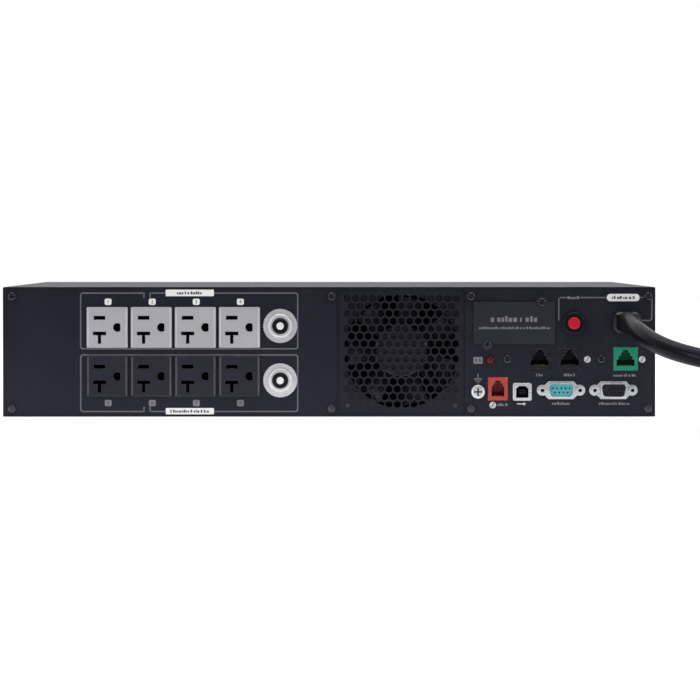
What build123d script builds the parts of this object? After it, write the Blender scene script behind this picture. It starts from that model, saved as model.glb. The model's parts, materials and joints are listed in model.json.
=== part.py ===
"""Two-unit rackmount uninterruptible power supply, as separate pieces in millimetres.

+Z is up and +X is to the right seen from behind. The rear connector face looks along -Y
and the front bezel looks along +Y. The origin is under the middle of the body, on the
surface that the unit rests on.
"""
from build123d import *
import math
import os

# ---------------------------------------------------------------- driving dimensions
BODY_W = 433.0            # steel body, side to side
BODY_H = 86.0             # two rack units, less the working gap
BODY_D = 450.0            # rear panels to the front of the steel body
BEZEL_D = 37.0            # plastic front
BEZEL_H = 84.4            # a little lower than the steel body
BREAKER_PROUD = 8.0       # breaker buttons behind the rear panels
SHEET = 1.2               # steel thickness everywhere
GAP = 0.2                 # gap round a panel or a clipped-in piece

RACK_W = 482.6            # over the rack ears
RACK_HOLES_X = 465.1
RACK_HOLES_Z = 44.45      # second and fifth holes of two rack units
RACK_EAR_H = 74.0
RACK_SLOT = (10.0, 6.8)

TOTAL_D = BREAKER_PROUD + BODY_D + BEZEL_D
REAR_Y = -TOTAL_D / 2 + BREAKER_PROUD
FRONT_Y = REAR_Y + BODY_D
BEZEL_Y = FRONT_Y + BEZEL_D
PANEL_IN_Y = REAR_Y + SHEET
WALL_IN_Y = PANEL_IN_Y + SHEET
HALF_W = BODY_W / 2
MID_Z = BODY_H / 2

# rear panels, seen from behind
SEAM_LEFT_X = 5.3
SEAM_RIGHT_X = 90.0
PANEL_LOW = SHEET + GAP
PANEL_HIGH = BODY_H - SHEET - GAP
PANEL_SCREWS = [(-210.6, 79.8), (-210.6, 5.4), (1.5, 79.8), (1.5, 5.4),
                (94.2, 79.8), (94.2, 5.4), (211.8, 79.8), (211.8, 5.4)]
SCREW_HEAD_D = 5.5
SCREW_HEAD_H = 1.7
SCREW_SHANK_D = 2.9
SCREW_HOLE_D = 3.4

# receptacles: 20 A, two blades and a ground, in two rows of four
OUTLET_PITCH = 29.25
OUTLET_FIRST_X = -147.3
OUTLET_ROWS = {"upper": 59.2, "lower": 26.8}
OUTLET_W = 27.3
OUTLET_H = 27.1
OUTLET_PROUD = 1.4
OUTLET_BODY = 25.0
OUTLET_DEPTH = 24.0
SLOT_DEPTH = 14.0
BLADE_X = -5.1
HOT_Z = 6.4
TEE_Z = -4.0
GROUND_X = 6.8

# resettable breakers
BREAKER_X = -32.5
BREAKER_Z = {"upper": 60.2, "lower": 24.1}
BREAKER_NECK_D = 10.4
BREAKER_WASHER_D = 22.8
BREAKER_NUT_D = 16.2
BREAKER_BUTTON_D = 4.9
INPUT_BREAKER = (162.5, 62.0)
INPUT_NUT_D = 14.9
INPUT_BUTTON_D = 8.2

# fan and the perforated wall in front of it
FAN = (48.0, 43.3)
FAN_SIZE = 80.0
FAN_DEPTH = 25.0
FAN_BORE_D = 76.0
FAN_HUB_D = 35.0
FAN_BLADES = 7
FAN_HOLES = 71.5
HEX_FLATS = 4.5
HEX_PITCH_X = 5.54
HEX_PITCH_Z = 5.02
HEX_ROWS = 15
HEX_COLUMNS = 14

# signal side
EXPANSION = (95.8, 149.9, 48.2, 76.2)
EXPANSION_SCREWS = [(141.1, 76.0), (104.9, 47.9)]
BOARD_SCREWS = [(118.3, 38.2), (180.7, 38.2)]
RJ45_IN = (139.7, 38.5)
RJ45_OUT = (159.6, 38.5)
RJ45_SENSOR = (196.8, 38.3)
RJ11 = (112.0, 18.4)
USB = (128.2, 16.4)
DSUB_SERIAL = (153.9, 17.5)
DSUB_CONTACT = (188.7, 17.5)
DSUB_SCREWS = 24.99
LED = (106.9, 37.4)
GROUND_SCREW = (98.8, 16.5)
JACK_DEPTH = 16.0

# battery drawer: four sealed batteries, two by two
BATTERY = (151.0, 94.0, 65.0)
DRAWER_X = -57.0
DRAWER_W = 307.0
DRAWER_D = 193.0
DRAWER_FRONT_Y = FRONT_Y - 1.0
DRAWER_BACK_Y = DRAWER_FRONT_Y - DRAWER_D
DRAWER_Z = SHEET + 0.5
BULKHEAD_Y = DRAWER_BACK_Y - 6.0
COVER_RIGHT_X = 101.0     # battery cover's right edge, where the display bezel starts

# mains lead
CORD_D = 12.5
CORD_R = CORD_D / 2
CORD_EXIT = (197.6, 62.5)
GLAND_PROUD = 7.0
RELIEF_L = 24.0
RELIEF_END_Y = REAR_Y - GLAND_PROUD - RELIEF_L
COIL_CENTRE = (369.5, -252.3)
COIL_MEAN_R = 70.0
COIL_ABREAST = 3
COIL_LAYERS = 2
COIL_TURN_IN = -68.3      # degrees round the coil where the lead comes in
PLUG_X = 457.0
PLUG_REAR_Y = -182.0
PLUG_AXIS_Z = 14.0

PARTS = "parts"
os.makedirs(PARTS, exist_ok=True)
WRITTEN = []


def save(piece, node):
    """Label a finished piece and write its STEP file."""
    piece.label = node
    export_step(piece, f"{PARTS}/{node}.step")
    WRITTEN.append(node)


def facing_rear(y):
    """The upright plane at this depth, with sketch x to +X, sketch y to +Z, normal to -Y."""
    return Plane.XZ.offset(-y)


def span(low, high):
    """Centre and length of a stretch."""
    return (low + high) / 2, high - low


def rear_slab(x0, x1, z0, z1, y0, y1, mode=Mode.ADD):
    """A rectangular block between two depths, in the open part."""
    cx, width = span(x0, x1)
    cz, height = span(z0, z1)
    with BuildSketch(facing_rear(y1)) as outline:
        with Locations((cx, cz)):
            Rectangle(width, height)
    extrude(to_extrude=outline.sketch, amount=y1 - y0, mode=mode)


def round_bar(points, diameter, y0, y1, mode=Mode.ADD):
    """Round bars or holes along Y between two depths, in the open part."""
    with BuildSketch(facing_rear(y1)) as rounds:
        with Locations(*points):
            Circle(diameter / 2)
    extrude(to_extrude=rounds.sketch, amount=y1 - y0, mode=mode)


# ---------------------------------------------------------------- steel body
STANDOFFS = [(-70.0, -190.0), (190.0, -190.0), (-70.0, -20.0), (190.0, -20.0)]
BOARD_Z = 8.0
EAR_SCREWS_Y = [FRONT_Y - 22.0, FRONT_Y - 62.0]
EAR_SCREWS_Z = [21.0, 65.0]
FLANGE = 9.0
COVER_SCREWS = [(side * 209.0, y) for side in (-1, 1) for y in (-200, -70, 60, 190)]
COVER_SCREW_D = 6.0

with BuildPart() as chassis_base:
    with BuildSketch(Plane.XY):
        with Locations((0, (REAR_Y + FRONT_Y) / 2)):
            Rectangle(BODY_W, BODY_D)
    extrude(amount=SHEET)
    for side in (-1, 1):
        outer, inner = side * HALF_W, side * (HALF_W - SHEET)
        flange = side * (HALF_W - SHEET - FLANGE)
        left, right = sorted((outer, inner))
        rear_slab(left, right, SHEET, BODY_H - SHEET, REAR_Y, FRONT_Y)
        left, right = sorted((flange, inner))
        rear_slab(left, right, SHEET, BODY_H - SHEET, PANEL_IN_Y, WALL_IN_Y)
        rear_slab(left, right, BODY_H - 2 * SHEET, BODY_H - SHEET, WALL_IN_Y, FRONT_Y)
    rear_slab(-HALF_W + SHEET, COVER_RIGHT_X + 1.2, SHEET, BODY_H - SHEET - 1,
              BULKHEAD_Y - SHEET, BULKHEAD_Y)
    rear_slab(COVER_RIGHT_X, COVER_RIGHT_X + SHEET, SHEET, BODY_H - SHEET - 1,
              BULKHEAD_Y, FRONT_Y)
    rear_slab(COVER_RIGHT_X + SHEET, HALF_W - SHEET, SHEET, BODY_H - SHEET - 1,
              FRONT_Y - SHEET, FRONT_Y)
    rear_slab(118, 202, 22, 74, FRONT_Y - SHEET, FRONT_Y, mode=Mode.SUBTRACT)
    with BuildSketch(Plane.XY.offset(SHEET)):
        with Locations(*STANDOFFS):
            Circle(3.5)
    extrude(amount=BOARD_Z - SHEET)
    side_screws = [p for p in PANEL_SCREWS if abs(p[0]) > 200]
    round_bar(side_screws, SCREW_SHANK_D + 0.1, PANEL_IN_Y, WALL_IN_Y, mode=Mode.SUBTRACT)
    with BuildSketch(Plane.YZ.offset(-HALF_W)):
        with Locations(*[(y, z) for y in EAR_SCREWS_Y for z in EAR_SCREWS_Z]):
            Circle(2.05)
    extrude(amount=BODY_W, mode=Mode.SUBTRACT)
    with BuildSketch(Plane.XY.offset(BODY_H - SHEET)):
        with Locations(*COVER_SCREWS):
            Circle(SCREW_SHANK_D / 2 + 0.1)
    extrude(amount=-SHEET, mode=Mode.SUBTRACT)
save(chassis_base.part, "chassis_base")

with BuildPart() as top_cover:
    with BuildSketch(Plane.XY.offset(BODY_H - SHEET)):
        with Locations((0, (REAR_Y + FRONT_Y) / 2)):
            Rectangle(BODY_W, BODY_D)
    extrude(amount=SHEET)
    fillet(top_cover.edges().filter_by(Axis.Y).group_by(Axis.Z)[-1], 1.0)
    with Locations(*[(x, y, BODY_H) for x, y in COVER_SCREWS]):
        CounterSinkHole(1.7, COVER_SCREW_D / 2 + 0.1, counter_sink_angle=120)
save(top_cover.part, "top_cover")

# flat-head screws: a countersunk cone, a shank, and a cross recess
with BuildPart() as cover_screw:
    with BuildSketch(Plane.XY):
        Circle(1.45)
    extrude(amount=-7.0)
    with BuildSketch(Plane.XY.offset(-0.8)):
        Circle(1.45)
    with BuildSketch(Plane.XY):
        Circle(COVER_SCREW_D / 2 - 0.15)
    loft()
    with BuildSketch(Plane.XY):
        Rectangle(3.4, 0.8)
        Rectangle(0.8, 3.4)
    extrude(amount=-0.7, mode=Mode.SUBTRACT)

with BuildPart() as cover_screws:
    with Locations(*[(x, y, BODY_H - 0.1) for x, y in COVER_SCREWS]):
        add(cover_screw.part)
save(cover_screws.part, "cover_screws")


# ---------------------------------------------------------------- rear wall and panels
def hex_places():
    """Centres of the perforations: long and short rows in turn, round the fan's middle."""
    places = []
    for row in range(HEX_ROWS):
        count = HEX_COLUMNS - row % 2
        z = FAN[1] + (row - (HEX_ROWS - 1) / 2) * HEX_PITCH_Z
        for column in range(count):
            places.append((FAN[0] + (column - (count - 1) / 2) * HEX_PITCH_X, z))
    return places


inner_screws = [p for p in PANEL_SCREWS if abs(p[0]) < 200]

with BuildPart() as rear_fan_wall:
    x0, x1 = SEAM_LEFT_X - 9, SEAM_RIGHT_X + 6.5
    rear_slab(x0, x1, SHEET, BODY_H - SHEET, PANEL_IN_Y, WALL_IN_Y)
    round_bar(inner_screws, SCREW_SHANK_D + 0.1, PANEL_IN_Y, WALL_IN_Y, mode=Mode.SUBTRACT)
    with BuildSketch(facing_rear(WALL_IN_Y)):
        with Locations(*hex_places()):
            RegularPolygon(HEX_FLATS / 2, 6, major_radius=False, rotation=30)
    extrude(amount=SHEET, mode=Mode.SUBTRACT)
save(rear_fan_wall.part, "rear_fan_wall")

outlet_places = {row: [(OUTLET_FIRST_X + i * OUTLET_PITCH, z) for i in range(4)]
                 for row, z in OUTLET_ROWS.items()}
all_outlets = outlet_places["upper"] + outlet_places["lower"]

with BuildPart() as rear_outlet_panel:
    rear_slab(-HALF_W + SHEET + GAP, SEAM_LEFT_X - GAP, PANEL_LOW, PANEL_HIGH, REAR_Y, PANEL_IN_Y)
    with BuildSketch(facing_rear(PANEL_IN_Y)):
        with Locations(*all_outlets):
            Rectangle(OUTLET_BODY + GAP, OUTLET_BODY + GAP)
        with Locations(*[(BREAKER_X, z) for z in BREAKER_Z.values()]):
            Circle(BREAKER_NECK_D / 2 + 0.2)
        with Locations(*[p for p in PANEL_SCREWS if p[0] < SEAM_LEFT_X]):
            Circle(SCREW_HOLE_D / 2)
    extrude(amount=SHEET, mode=Mode.SUBTRACT)
save(rear_outlet_panel.part, "rear_outlet_panel")

RJ45_FACE = (14.9, 14.1)
SENSOR_FACE = (16.3, 15.7)
RJ11_FACE = (13.2, 15.5)
USB_FACE = (12.6, 11.8)
DSUB_CUT = (19.0, 10.6)

with BuildPart() as rear_io_panel:
    rear_slab(SEAM_RIGHT_X + GAP, HALF_W - SHEET - GAP, PANEL_LOW, PANEL_HIGH, REAR_Y, PANEL_IN_Y)
    with BuildSketch(facing_rear(PANEL_IN_Y)):
        with Locations(((EXPANSION[0] + EXPANSION[1]) / 2, (EXPANSION[2] + EXPANSION[3]) / 2)):
            Rectangle(46, 20)
        with Locations(RJ45_IN, RJ45_OUT):
            Rectangle(RJ45_FACE[0] + GAP, RJ45_FACE[1] + GAP)
        with Locations(RJ45_SENSOR):
            Rectangle(SENSOR_FACE[0] + GAP, SENSOR_FACE[1] + GAP)
        with Locations(RJ11):
            Rectangle(RJ11_FACE[0] + GAP, RJ11_FACE[1] + GAP)
        with Locations(USB):
            Rectangle(USB_FACE[0] + GAP, USB_FACE[1] + GAP)
        with Locations(DSUB_SERIAL, DSUB_CONTACT):
            Rectangle(*DSUB_CUT)
        with Locations(*[(x + s * DSUB_SCREWS / 2, z) for x, z in (DSUB_SERIAL, DSUB_CONTACT)
                         for s in (-1, 1)]):
            Circle(1.6)
        with Locations(INPUT_BREAKER):
            Circle(6.0)
        with Locations(CORD_EXIT):
            Rectangle(17.0, 13.0)
        with Locations(LED):
            Circle(3.0)
        with Locations(GROUND_SCREW):
            Circle(2.2)
        with Locations(*[p for p in PANEL_SCREWS if p[0] > SEAM_RIGHT_X]):
            Circle(SCREW_HOLE_D / 2)
        with Locations(*EXPANSION_SCREWS, *BOARD_SCREWS):
            Circle(1.6)
    extrude(amount=SHEET, mode=Mode.SUBTRACT)
save(rear_io_panel.part, "rear_io_panel")


# pan-head screw: its seat is at the origin and its shank runs to +Z of its own frame
def pan_screw(head_d, head_h, shank_d, shank_l):
    """One pan-head screw with a cross recess, head below its seat plane."""
    with BuildPart() as screw:
        with BuildSketch(Plane.XY):
            Circle(head_d / 2)
        extrude(amount=-head_h)
        fillet(screw.faces().sort_by(Axis.Z)[0].edges(), head_h * 0.55)
        with BuildSketch(Plane.XY):
            Circle(shank_d / 2)
        extrude(amount=shank_l)
        with BuildSketch(Plane.XY.offset(-head_h)):
            Rectangle(head_d * 0.6, head_d * 0.14)
            Rectangle(head_d * 0.14, head_d * 0.6)
        extrude(amount=head_h * 0.55, mode=Mode.SUBTRACT)
    return screw.part


def seat(x, y, z):
    """Where a screw's own frame goes, so that its shank points to +Y."""
    return Plane(origin=(x, y, z), x_dir=(1, 0, 0), z_dir=(0, 1, 0)).location


def screw_set(places, y, screw):
    """The same screw at several places on one face."""
    with BuildPart() as group:
        with Locations(*[seat(x, y, z) for x, z in places]):
            add(screw)
    return group.part


save(screw_set(PANEL_SCREWS, REAR_Y, pan_screw(SCREW_HEAD_D, SCREW_HEAD_H, SCREW_SHANK_D, 6)),
     "panel_screws")


# ---------------------------------------------------------------- receptacles
def outlet(row, index, x, z):
    """One receptacle: a face that overlaps the panel, and a body with three contact pockets."""
    back = REAR_Y + OUTLET_DEPTH
    with BuildPart() as body:
        with BuildSketch(facing_rear(REAR_Y)):
            with Locations((x, z)):
                RectangleRounded(OUTLET_W, OUTLET_H, 0.8)
        extrude(amount=OUTLET_PROUD)
        chamfer(body.faces().sort_by(Axis.Y)[0].edges(), 0.5)
        rear_slab(x - OUTLET_BODY / 2, x + OUTLET_BODY / 2, z - OUTLET_BODY / 2,
                  z + OUTLET_BODY / 2, REAR_Y, back)
        with BuildSketch(facing_rear(back)):
            with Locations((x + BLADE_X, z + HOT_Z)):
                Rectangle(9.4, 5.0)
            with Locations((x + BLADE_X, z + TEE_Z)):
                Rectangle(9.4, 5.0)
            with Locations((x + GROUND_X, z)):
                Rectangle(6.6, 6.6)
            with Locations((x + BLADE_X, z + TEE_Z - 5.2)):
                Rectangle(2.6, 5.6)
        extrude(amount=SLOT_DEPTH, mode=Mode.SUBTRACT)
        with BuildSketch(facing_rear(back)):
            with Locations((x + BLADE_X, z + HOT_Z)):
                Rectangle(7.7, 2.6)
            with Locations((x + BLADE_X, z + TEE_Z)):
                Rectangle(8.8, 2.4)
            with Locations((x + BLADE_X, z + TEE_Z - 3.8)):
                Rectangle(2.2, 6.0)
            with Locations((x + GROUND_X, z)):
                Circle(2.9)
            with Locations((x + GROUND_X + 2.9, z)):
                Rectangle(1.9, 6.2, mode=Mode.SUBTRACT)
        extrude(amount=OUTLET_DEPTH + OUTLET_PROUD, mode=Mode.SUBTRACT)
    save(body.part, f"outlet_{row}_{index}")


for row_name, places in outlet_places.items():
    for number, (place_x, place_z) in enumerate(places, start=1):
        outlet(row_name, number, place_x, place_z)

CLIP_LEAF = 0.7

with BuildPart() as outlet_contacts:
    clip_front = REAR_Y + OUTLET_DEPTH - SLOT_DEPTH + 1.0
    clip_back = REAR_Y + OUTLET_DEPTH - 3.0
    tab_back = REAR_Y + OUTLET_DEPTH + 8.0
    for cx, cz in all_outlets:
        for dx, dz, width, height in ((BLADE_X, HOT_Z, 9.0, 4.4), (BLADE_X, TEE_Z, 9.0, 4.4),
                                      (GROUND_X, 0, 6.2, 6.2)):
            px, pz = cx + dx, cz + dz
            rear_slab(px - width / 2, px + width / 2, pz - height / 2, pz + height / 2,
                      clip_front, clip_back)
            rear_slab(px - width / 2, px + width / 2, pz - height / 2 + CLIP_LEAF,
                      pz + height / 2 - CLIP_LEAF, clip_front, clip_back - CLIP_LEAF,
                      mode=Mode.SUBTRACT)
            rear_slab(px - 3.1, px + 3.1, pz - 0.4, pz + 0.4, clip_back, tab_back)
save(outlet_contacts.part, "outlet_contacts")

# ---------------------------------------------------------------- resettable breakers
breaker_places = [(BREAKER_X, z) for z in BREAKER_Z.values()]
NECK_PROUD = 5.4
WASHER_T = 1.2
NUT_T = 3.0
BUTTON_TRAVEL = 4.0
BUTTON_INSIDE = 14.0

with BuildPart() as breaker_bodies:
    for cx, cz in breaker_places:
        rear_slab(cx - 8, cx + 8, cz - 15.5, cz + 15.5, PANEL_IN_Y + 0.4, PANEL_IN_Y + 34)
    round_bar(breaker_places, BREAKER_NECK_D, REAR_Y - NECK_PROUD, PANEL_IN_Y + 0.4)
    chamfer(breaker_bodies.faces().sort_by(Axis.Y)[0:2].edges(), 0.5)
    round_bar(breaker_places, BREAKER_BUTTON_D + 0.6, REAR_Y - NECK_PROUD, REAR_Y + BUTTON_INSIDE + 1,
              mode=Mode.SUBTRACT)
    for cx, cz in breaker_places:
        for dz in (-9, 9):
            rear_slab(cx - 3.1, cx + 3.1, cz + dz - 0.4, cz + dz + 0.4,
                      PANEL_IN_Y + 34, PANEL_IN_Y + 42)
save(breaker_bodies.part, "breaker_bodies")

SERRATIONS = 40

with BuildPart() as breaker_washer:
    with BuildSketch(Plane.XY):
        Circle(BREAKER_WASHER_D / 2)
        with PolarLocations(BREAKER_WASHER_D / 2 + 0.15, SERRATIONS):
            Circle(0.55, mode=Mode.SUBTRACT)
        Circle(BREAKER_NECK_D / 2 + 0.15, mode=Mode.SUBTRACT)
    extrude(amount=-WASHER_T)

with BuildPart() as breaker_nut:
    with BuildSketch(Plane.XY.offset(-WASHER_T - 0.02)):
        Circle(BREAKER_NUT_D / 2)
        Circle(BREAKER_NECK_D / 2 + 0.15, mode=Mode.SUBTRACT)
    extrude(amount=-NUT_T)
    fillet(breaker_nut.faces().sort_by(Axis.Z)[0].edges().sort_by(SortBy.LENGTH)[-1], 1.6)

with BuildPart() as breaker_nuts:
    with Locations(*[seat(x, REAR_Y, z) for x, z in breaker_places]):
        add(breaker_washer.part)
        add(breaker_nut.part)
save(breaker_nuts.part, "breaker_nuts")


def push_button(x, z, diameter, proud, collar, node):
    """A breaker's button, popped out along -Y when it trips."""
    with BuildPart() as button:
        round_bar([(x, z)], diameter, REAR_Y - proud, REAR_Y + collar)
        fillet(button.faces().sort_by(Axis.Y)[0].edges(), diameter * 0.14)
    save(button.part, node)


for row_name, place_z in BREAKER_Z.items():
    push_button(BREAKER_X, place_z, BREAKER_BUTTON_D, BREAKER_PROUD, BUTTON_INSIDE - BUTTON_TRAVEL,
                f"breaker_button_{row_name}")

with BuildPart() as input_breaker:
    cx, cz = INPUT_BREAKER
    rear_slab(cx - 8, cx + 8, cz - 12, cz + 12, PANEL_IN_Y + 0.4, PANEL_IN_Y + 34)
    round_bar([INPUT_BREAKER], 11.6, REAR_Y - 2.0, PANEL_IN_Y + 0.4)
    round_bar([INPUT_BREAKER], INPUT_NUT_D, REAR_Y - 3.0, REAR_Y)
    fillet(input_breaker.faces().sort_by(Axis.Y)[0].edges(), 1.0)
    round_bar([INPUT_BREAKER], INPUT_BUTTON_D + 0.6, REAR_Y - 3.0, REAR_Y + BUTTON_INSIDE + 1,
              mode=Mode.SUBTRACT)
save(input_breaker.part, "input_breaker")
push_button(*INPUT_BREAKER, INPUT_BUTTON_D, 5.0, BUTTON_INSIDE - BUTTON_TRAVEL,
            "input_breaker_button")

# ---------------------------------------------------------------- signal side
with BuildPart() as expansion_cover:
    cx, width = span(EXPANSION[0], EXPANSION[1])
    cz, height = span(EXPANSION[2], EXPANSION[3])
    with BuildSketch(facing_rear(REAR_Y)):
        with Locations((cx, cz)):
            RectangleRounded(width, height, 1.0)
        with Locations(*EXPANSION_SCREWS):
            Circle(4.2)
        with Locations(*EXPANSION_SCREWS):
            Circle(1.6, mode=Mode.SUBTRACT)
    extrude(amount=SHEET)
save(expansion_cover.part, "expansion_cover")

board_screw = pan_screw(SCREW_HEAD_D, SCREW_HEAD_H, SCREW_SHANK_D, 5)
with BuildPart() as io_screws:
    with Locations(*[seat(x, REAR_Y - SHEET, z) for x, z in EXPANSION_SCREWS],
                   *[seat(x, REAR_Y, z) for x, z in BOARD_SCREWS]):
        add(board_screw)
save(io_screws.part, "io_screws")


def jack(centre, face, opening, depth, node, proud=0.3):
    """A modular jack: a block with a stepped socket that is open to the rear."""
    x, z = centre
    with BuildPart() as body:
        with BuildSketch(facing_rear(REAR_Y + JACK_DEPTH)):
            with Locations((x, z)):
                Rectangle(*face)
        extrude(amount=JACK_DEPTH + proud)
        chamfer(body.faces().sort_by(Axis.Y)[0].edges(), 0.35)
        with BuildSketch(facing_rear(REAR_Y + depth)):
            for half_width, low, high in opening:
                with Locations((x, z + (low + high) / 2)):
                    Rectangle(2 * half_width, high - low)
        extrude(amount=depth + proud, mode=Mode.SUBTRACT)
    save(body.part, node)


RJ45_OPENING = [(6.0, -4.6, -0.4), (4.6, -0.4, 2.0), (3.0, 2.0, 4.2), (1.7, 4.2, 6.0)]
RJ11_OPENING = [(4.3, -5.0, 1.6), (3.2, 1.6, 3.6), (1.8, 3.6, 5.6)]
SOCKET_DEPTH = 12.5

jack(RJ45_IN, RJ45_FACE, RJ45_OPENING, SOCKET_DEPTH, "surge_jack_in")
jack(RJ45_OUT, RJ45_FACE, RJ45_OPENING, SOCKET_DEPTH, "surge_jack_out")
jack(RJ45_SENSOR, SENSOR_FACE, RJ45_OPENING, SOCKET_DEPTH, "sensor_jack")
jack(RJ11, RJ11_FACE, RJ11_OPENING, SOCKET_DEPTH, "shutdown_jack")

with BuildPart() as usb_shell:
    with BuildSketch(facing_rear(REAR_Y + JACK_DEPTH)):
        with Locations(USB):
            RectangleRounded(*USB_FACE, 1.2)
    extrude(amount=JACK_DEPTH + 0.5)
    chamfer(usb_shell.faces().sort_by(Axis.Y)[0].edges(), 0.3)
    with BuildSketch(facing_rear(REAR_Y + 10)):
        with Locations(USB):
            socket = Rectangle(8.2, 7.8)
        chamfer(socket.vertices().sort_by(Axis.Z)[-2:], 1.9)
    extrude(amount=10.5, mode=Mode.SUBTRACT)
save(usb_shell.part, "usb_shell")

with BuildPart() as usb_insert:
    rear_slab(USB[0] - 2.7, USB[0] + 2.7, USB[1] - 1.5, USB[1] + 1.6, REAR_Y + 1.0, REAR_Y + 10)
save(usb_insert.part, "usb_insert")

DSUB_PROUD = 5.8


def dsub_outline(grow):
    """The D of a nine-way connector, wider on top, in the open sketch."""
    half_top, half_low, half_high = 8.45 + grow, 6.95 + grow, 4.15 + grow
    shape = Polygon((-half_top, half_high), (-half_low, -half_high), (half_low, -half_high),
                    (half_top, half_high), align=None)
    fillet(shape.vertices(), 2.4)


def dsub_flange():
    """The connector's flange: a clipped rectangle with a round ear at each jackscrew."""
    clipped = Rectangle(23.4, 11.8)
    chamfer(clipped.vertices(), 3.4)
    with Locations(*[(s * DSUB_SCREWS / 2, 0) for s in (-1, 1)]):
        Circle(3.6)


with BuildPart() as dsub_shells:
    for cx, cz in (DSUB_SERIAL, DSUB_CONTACT):
        centre = Plane(origin=(cx, REAR_Y, cz), x_dir=(1, 0, 0), z_dir=(0, -1, 0))
        with BuildSketch(centre):
            dsub_flange()
        extrude(amount=0.8)
        with BuildSketch(centre.offset(0.8)):
            dsub_outline(0.4)
        extrude(amount=DSUB_PROUD - 0.8)
        with BuildSketch(centre):
            dsub_outline(0)
        extrude(amount=DSUB_PROUD, mode=Mode.SUBTRACT)
        with BuildSketch(centre):
            with Locations(*[(s * DSUB_SCREWS / 2, 0) for s in (-1, 1)]):
                Circle(1.6)
        extrude(amount=0.8, mode=Mode.SUBTRACT)
save(dsub_shells.part, "dsub_shells")

PIN_PITCH = 2.77
ROW_PITCH = 2.84


def dsub_insert(x, z, node):
    """The moulded insert of a nine-way connector, with its contact holes in two rows."""
    centre = Plane(origin=(x, REAR_Y, z), x_dir=(1, 0, 0), z_dir=(0, -1, 0))
    with BuildPart() as insert:
        with BuildSketch(centre.offset(-10)):
            dsub_outline(-0.1)
        extrude(amount=10 + DSUB_PROUD - 1.0)
        with BuildSketch(centre.offset(DSUB_PROUD - 1.0)):
            with Locations((0, ROW_PITCH / 2)):
                with GridLocations(PIN_PITCH, 1, 5, 1):
                    Circle(0.62)
            with Locations((0, -ROW_PITCH / 2)):
                with GridLocations(PIN_PITCH, 1, 4, 1):
                    Circle(0.62)
        extrude(amount=-8, mode=Mode.SUBTRACT)
    save(insert.part, node)


dsub_insert(*DSUB_SERIAL, "serial_insert")
dsub_insert(*DSUB_CONTACT, "contact_insert")

with BuildPart() as jackscrews:
    for cx, cz in (DSUB_SERIAL, DSUB_CONTACT):
        posts = [(cx + s * DSUB_SCREWS / 2, cz) for s in (-1, 1)]
        with BuildSketch(facing_rear(REAR_Y - 0.8)):
            with Locations(*posts):
                RegularPolygon(2.4, 6, major_radius=False)
        extrude(amount=4.6)
        round_bar(posts, 2.8, REAR_Y - 0.8, REAR_Y + 5)
        round_bar(posts, 2.4, REAR_Y - 5.4, REAR_Y + 0.5, mode=Mode.SUBTRACT)
save(jackscrews.part, "jackscrews")

with BuildPart() as status_led:
    round_bar([LED], 5.6, REAR_Y - 0.6, REAR_Y + 8)
    round_bar([LED], 7.0, REAR_Y - 0.6, REAR_Y)
    round_bar([LED], 4.4, REAR_Y - 2.2, REAR_Y - 0.6)
    fillet(status_led.faces().sort_by(Axis.Y)[0].edges(), 1.5)
save(status_led.part, "status_led")

save(screw_set([GROUND_SCREW], REAR_Y, pan_screw(9.4, 2.6, 4.0, 9)), "ground_screw")

# ---------------------------------------------------------------- fan
fan_plane = Plane(origin=(FAN[0], WALL_IN_Y, FAN[1]), x_dir=(1, 0, 0), z_dir=(0, 1, 0))
SEAT_T = 4.0
SHAFT_D = 3.0
TIP_R = 35.8
BLADE_START = 24.0

with BuildPart() as fan_frame:
    with BuildSketch(fan_plane):
        RectangleRounded(FAN_SIZE, FAN_SIZE, 4)
        Circle(FAN_BORE_D / 2, mode=Mode.SUBTRACT)
        with GridLocations(FAN_HOLES, FAN_HOLES, 2, 2):
            Circle(2.15, mode=Mode.SUBTRACT)
    extrude(amount=FAN_DEPTH)
    with BuildSketch(fan_plane.offset(FAN_DEPTH - SEAT_T)):
        Circle(FAN_HUB_D / 2)
        with PolarLocations(FAN_BORE_D / 4 + 1, 4, start_angle=45):
            Rectangle(FAN_BORE_D / 2 + 1, 3.5)
    extrude(amount=SEAT_T)
    with BuildSketch(fan_plane.offset(FAN_DEPTH - 14)):
        Circle(5)
    extrude(amount=14 - SEAT_T)
    with BuildSketch(fan_plane.offset(FAN_DEPTH - 14)):
        Circle(SHAFT_D / 2 + 0.05)
    extrude(amount=13, mode=Mode.SUBTRACT)
save(fan_frame.part, "fan_frame")

BLADE_ROOT = (15.0, 1.6, 48)   # chord, thickness, degrees from the fan's plane
BLADE_TIP = (21.0, 1.2, 30)


def blade_section(radius, chord, thickness, pitch):
    """A blade's section as a flat rectangle, at this radius on the X axis."""
    tilt = math.radians(pitch)
    plane = Plane(origin=(radius, 0, 10.5), z_dir=(1, 0, 0),
                  x_dir=(0, math.cos(tilt), math.sin(tilt)))
    with BuildSketch(plane) as section:
        Rectangle(chord, thickness)
    return section.sketch


blade = loft([blade_section(FAN_HUB_D / 2 - 1.5, *BLADE_ROOT), blade_section(TIP_R, *BLADE_TIP)])

with BuildPart() as rotor_shape:
    with BuildSketch(Plane.XY.offset(1.5)):
        Circle(FAN_HUB_D / 2)
    extrude(amount=18.5)
    fillet(rotor_shape.faces().sort_by(Axis.Z)[0].edges(), 1.5)
    with PolarLocations(0, FAN_BLADES, start_angle=BLADE_START):
        add(blade)
    with BuildSketch(Plane.XY.offset(4)):
        Circle(FAN_HUB_D / 2 - 2)
    extrude(amount=20, mode=Mode.SUBTRACT)
    with BuildSketch(Plane.XY.offset(4)):
        Circle(SHAFT_D / 2)
    extrude(amount=19)

with BuildPart() as fan_rotor:
    with Locations(fan_plane.location):
        add(rotor_shape.part)
save(fan_rotor.part, "fan_rotor")

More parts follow.
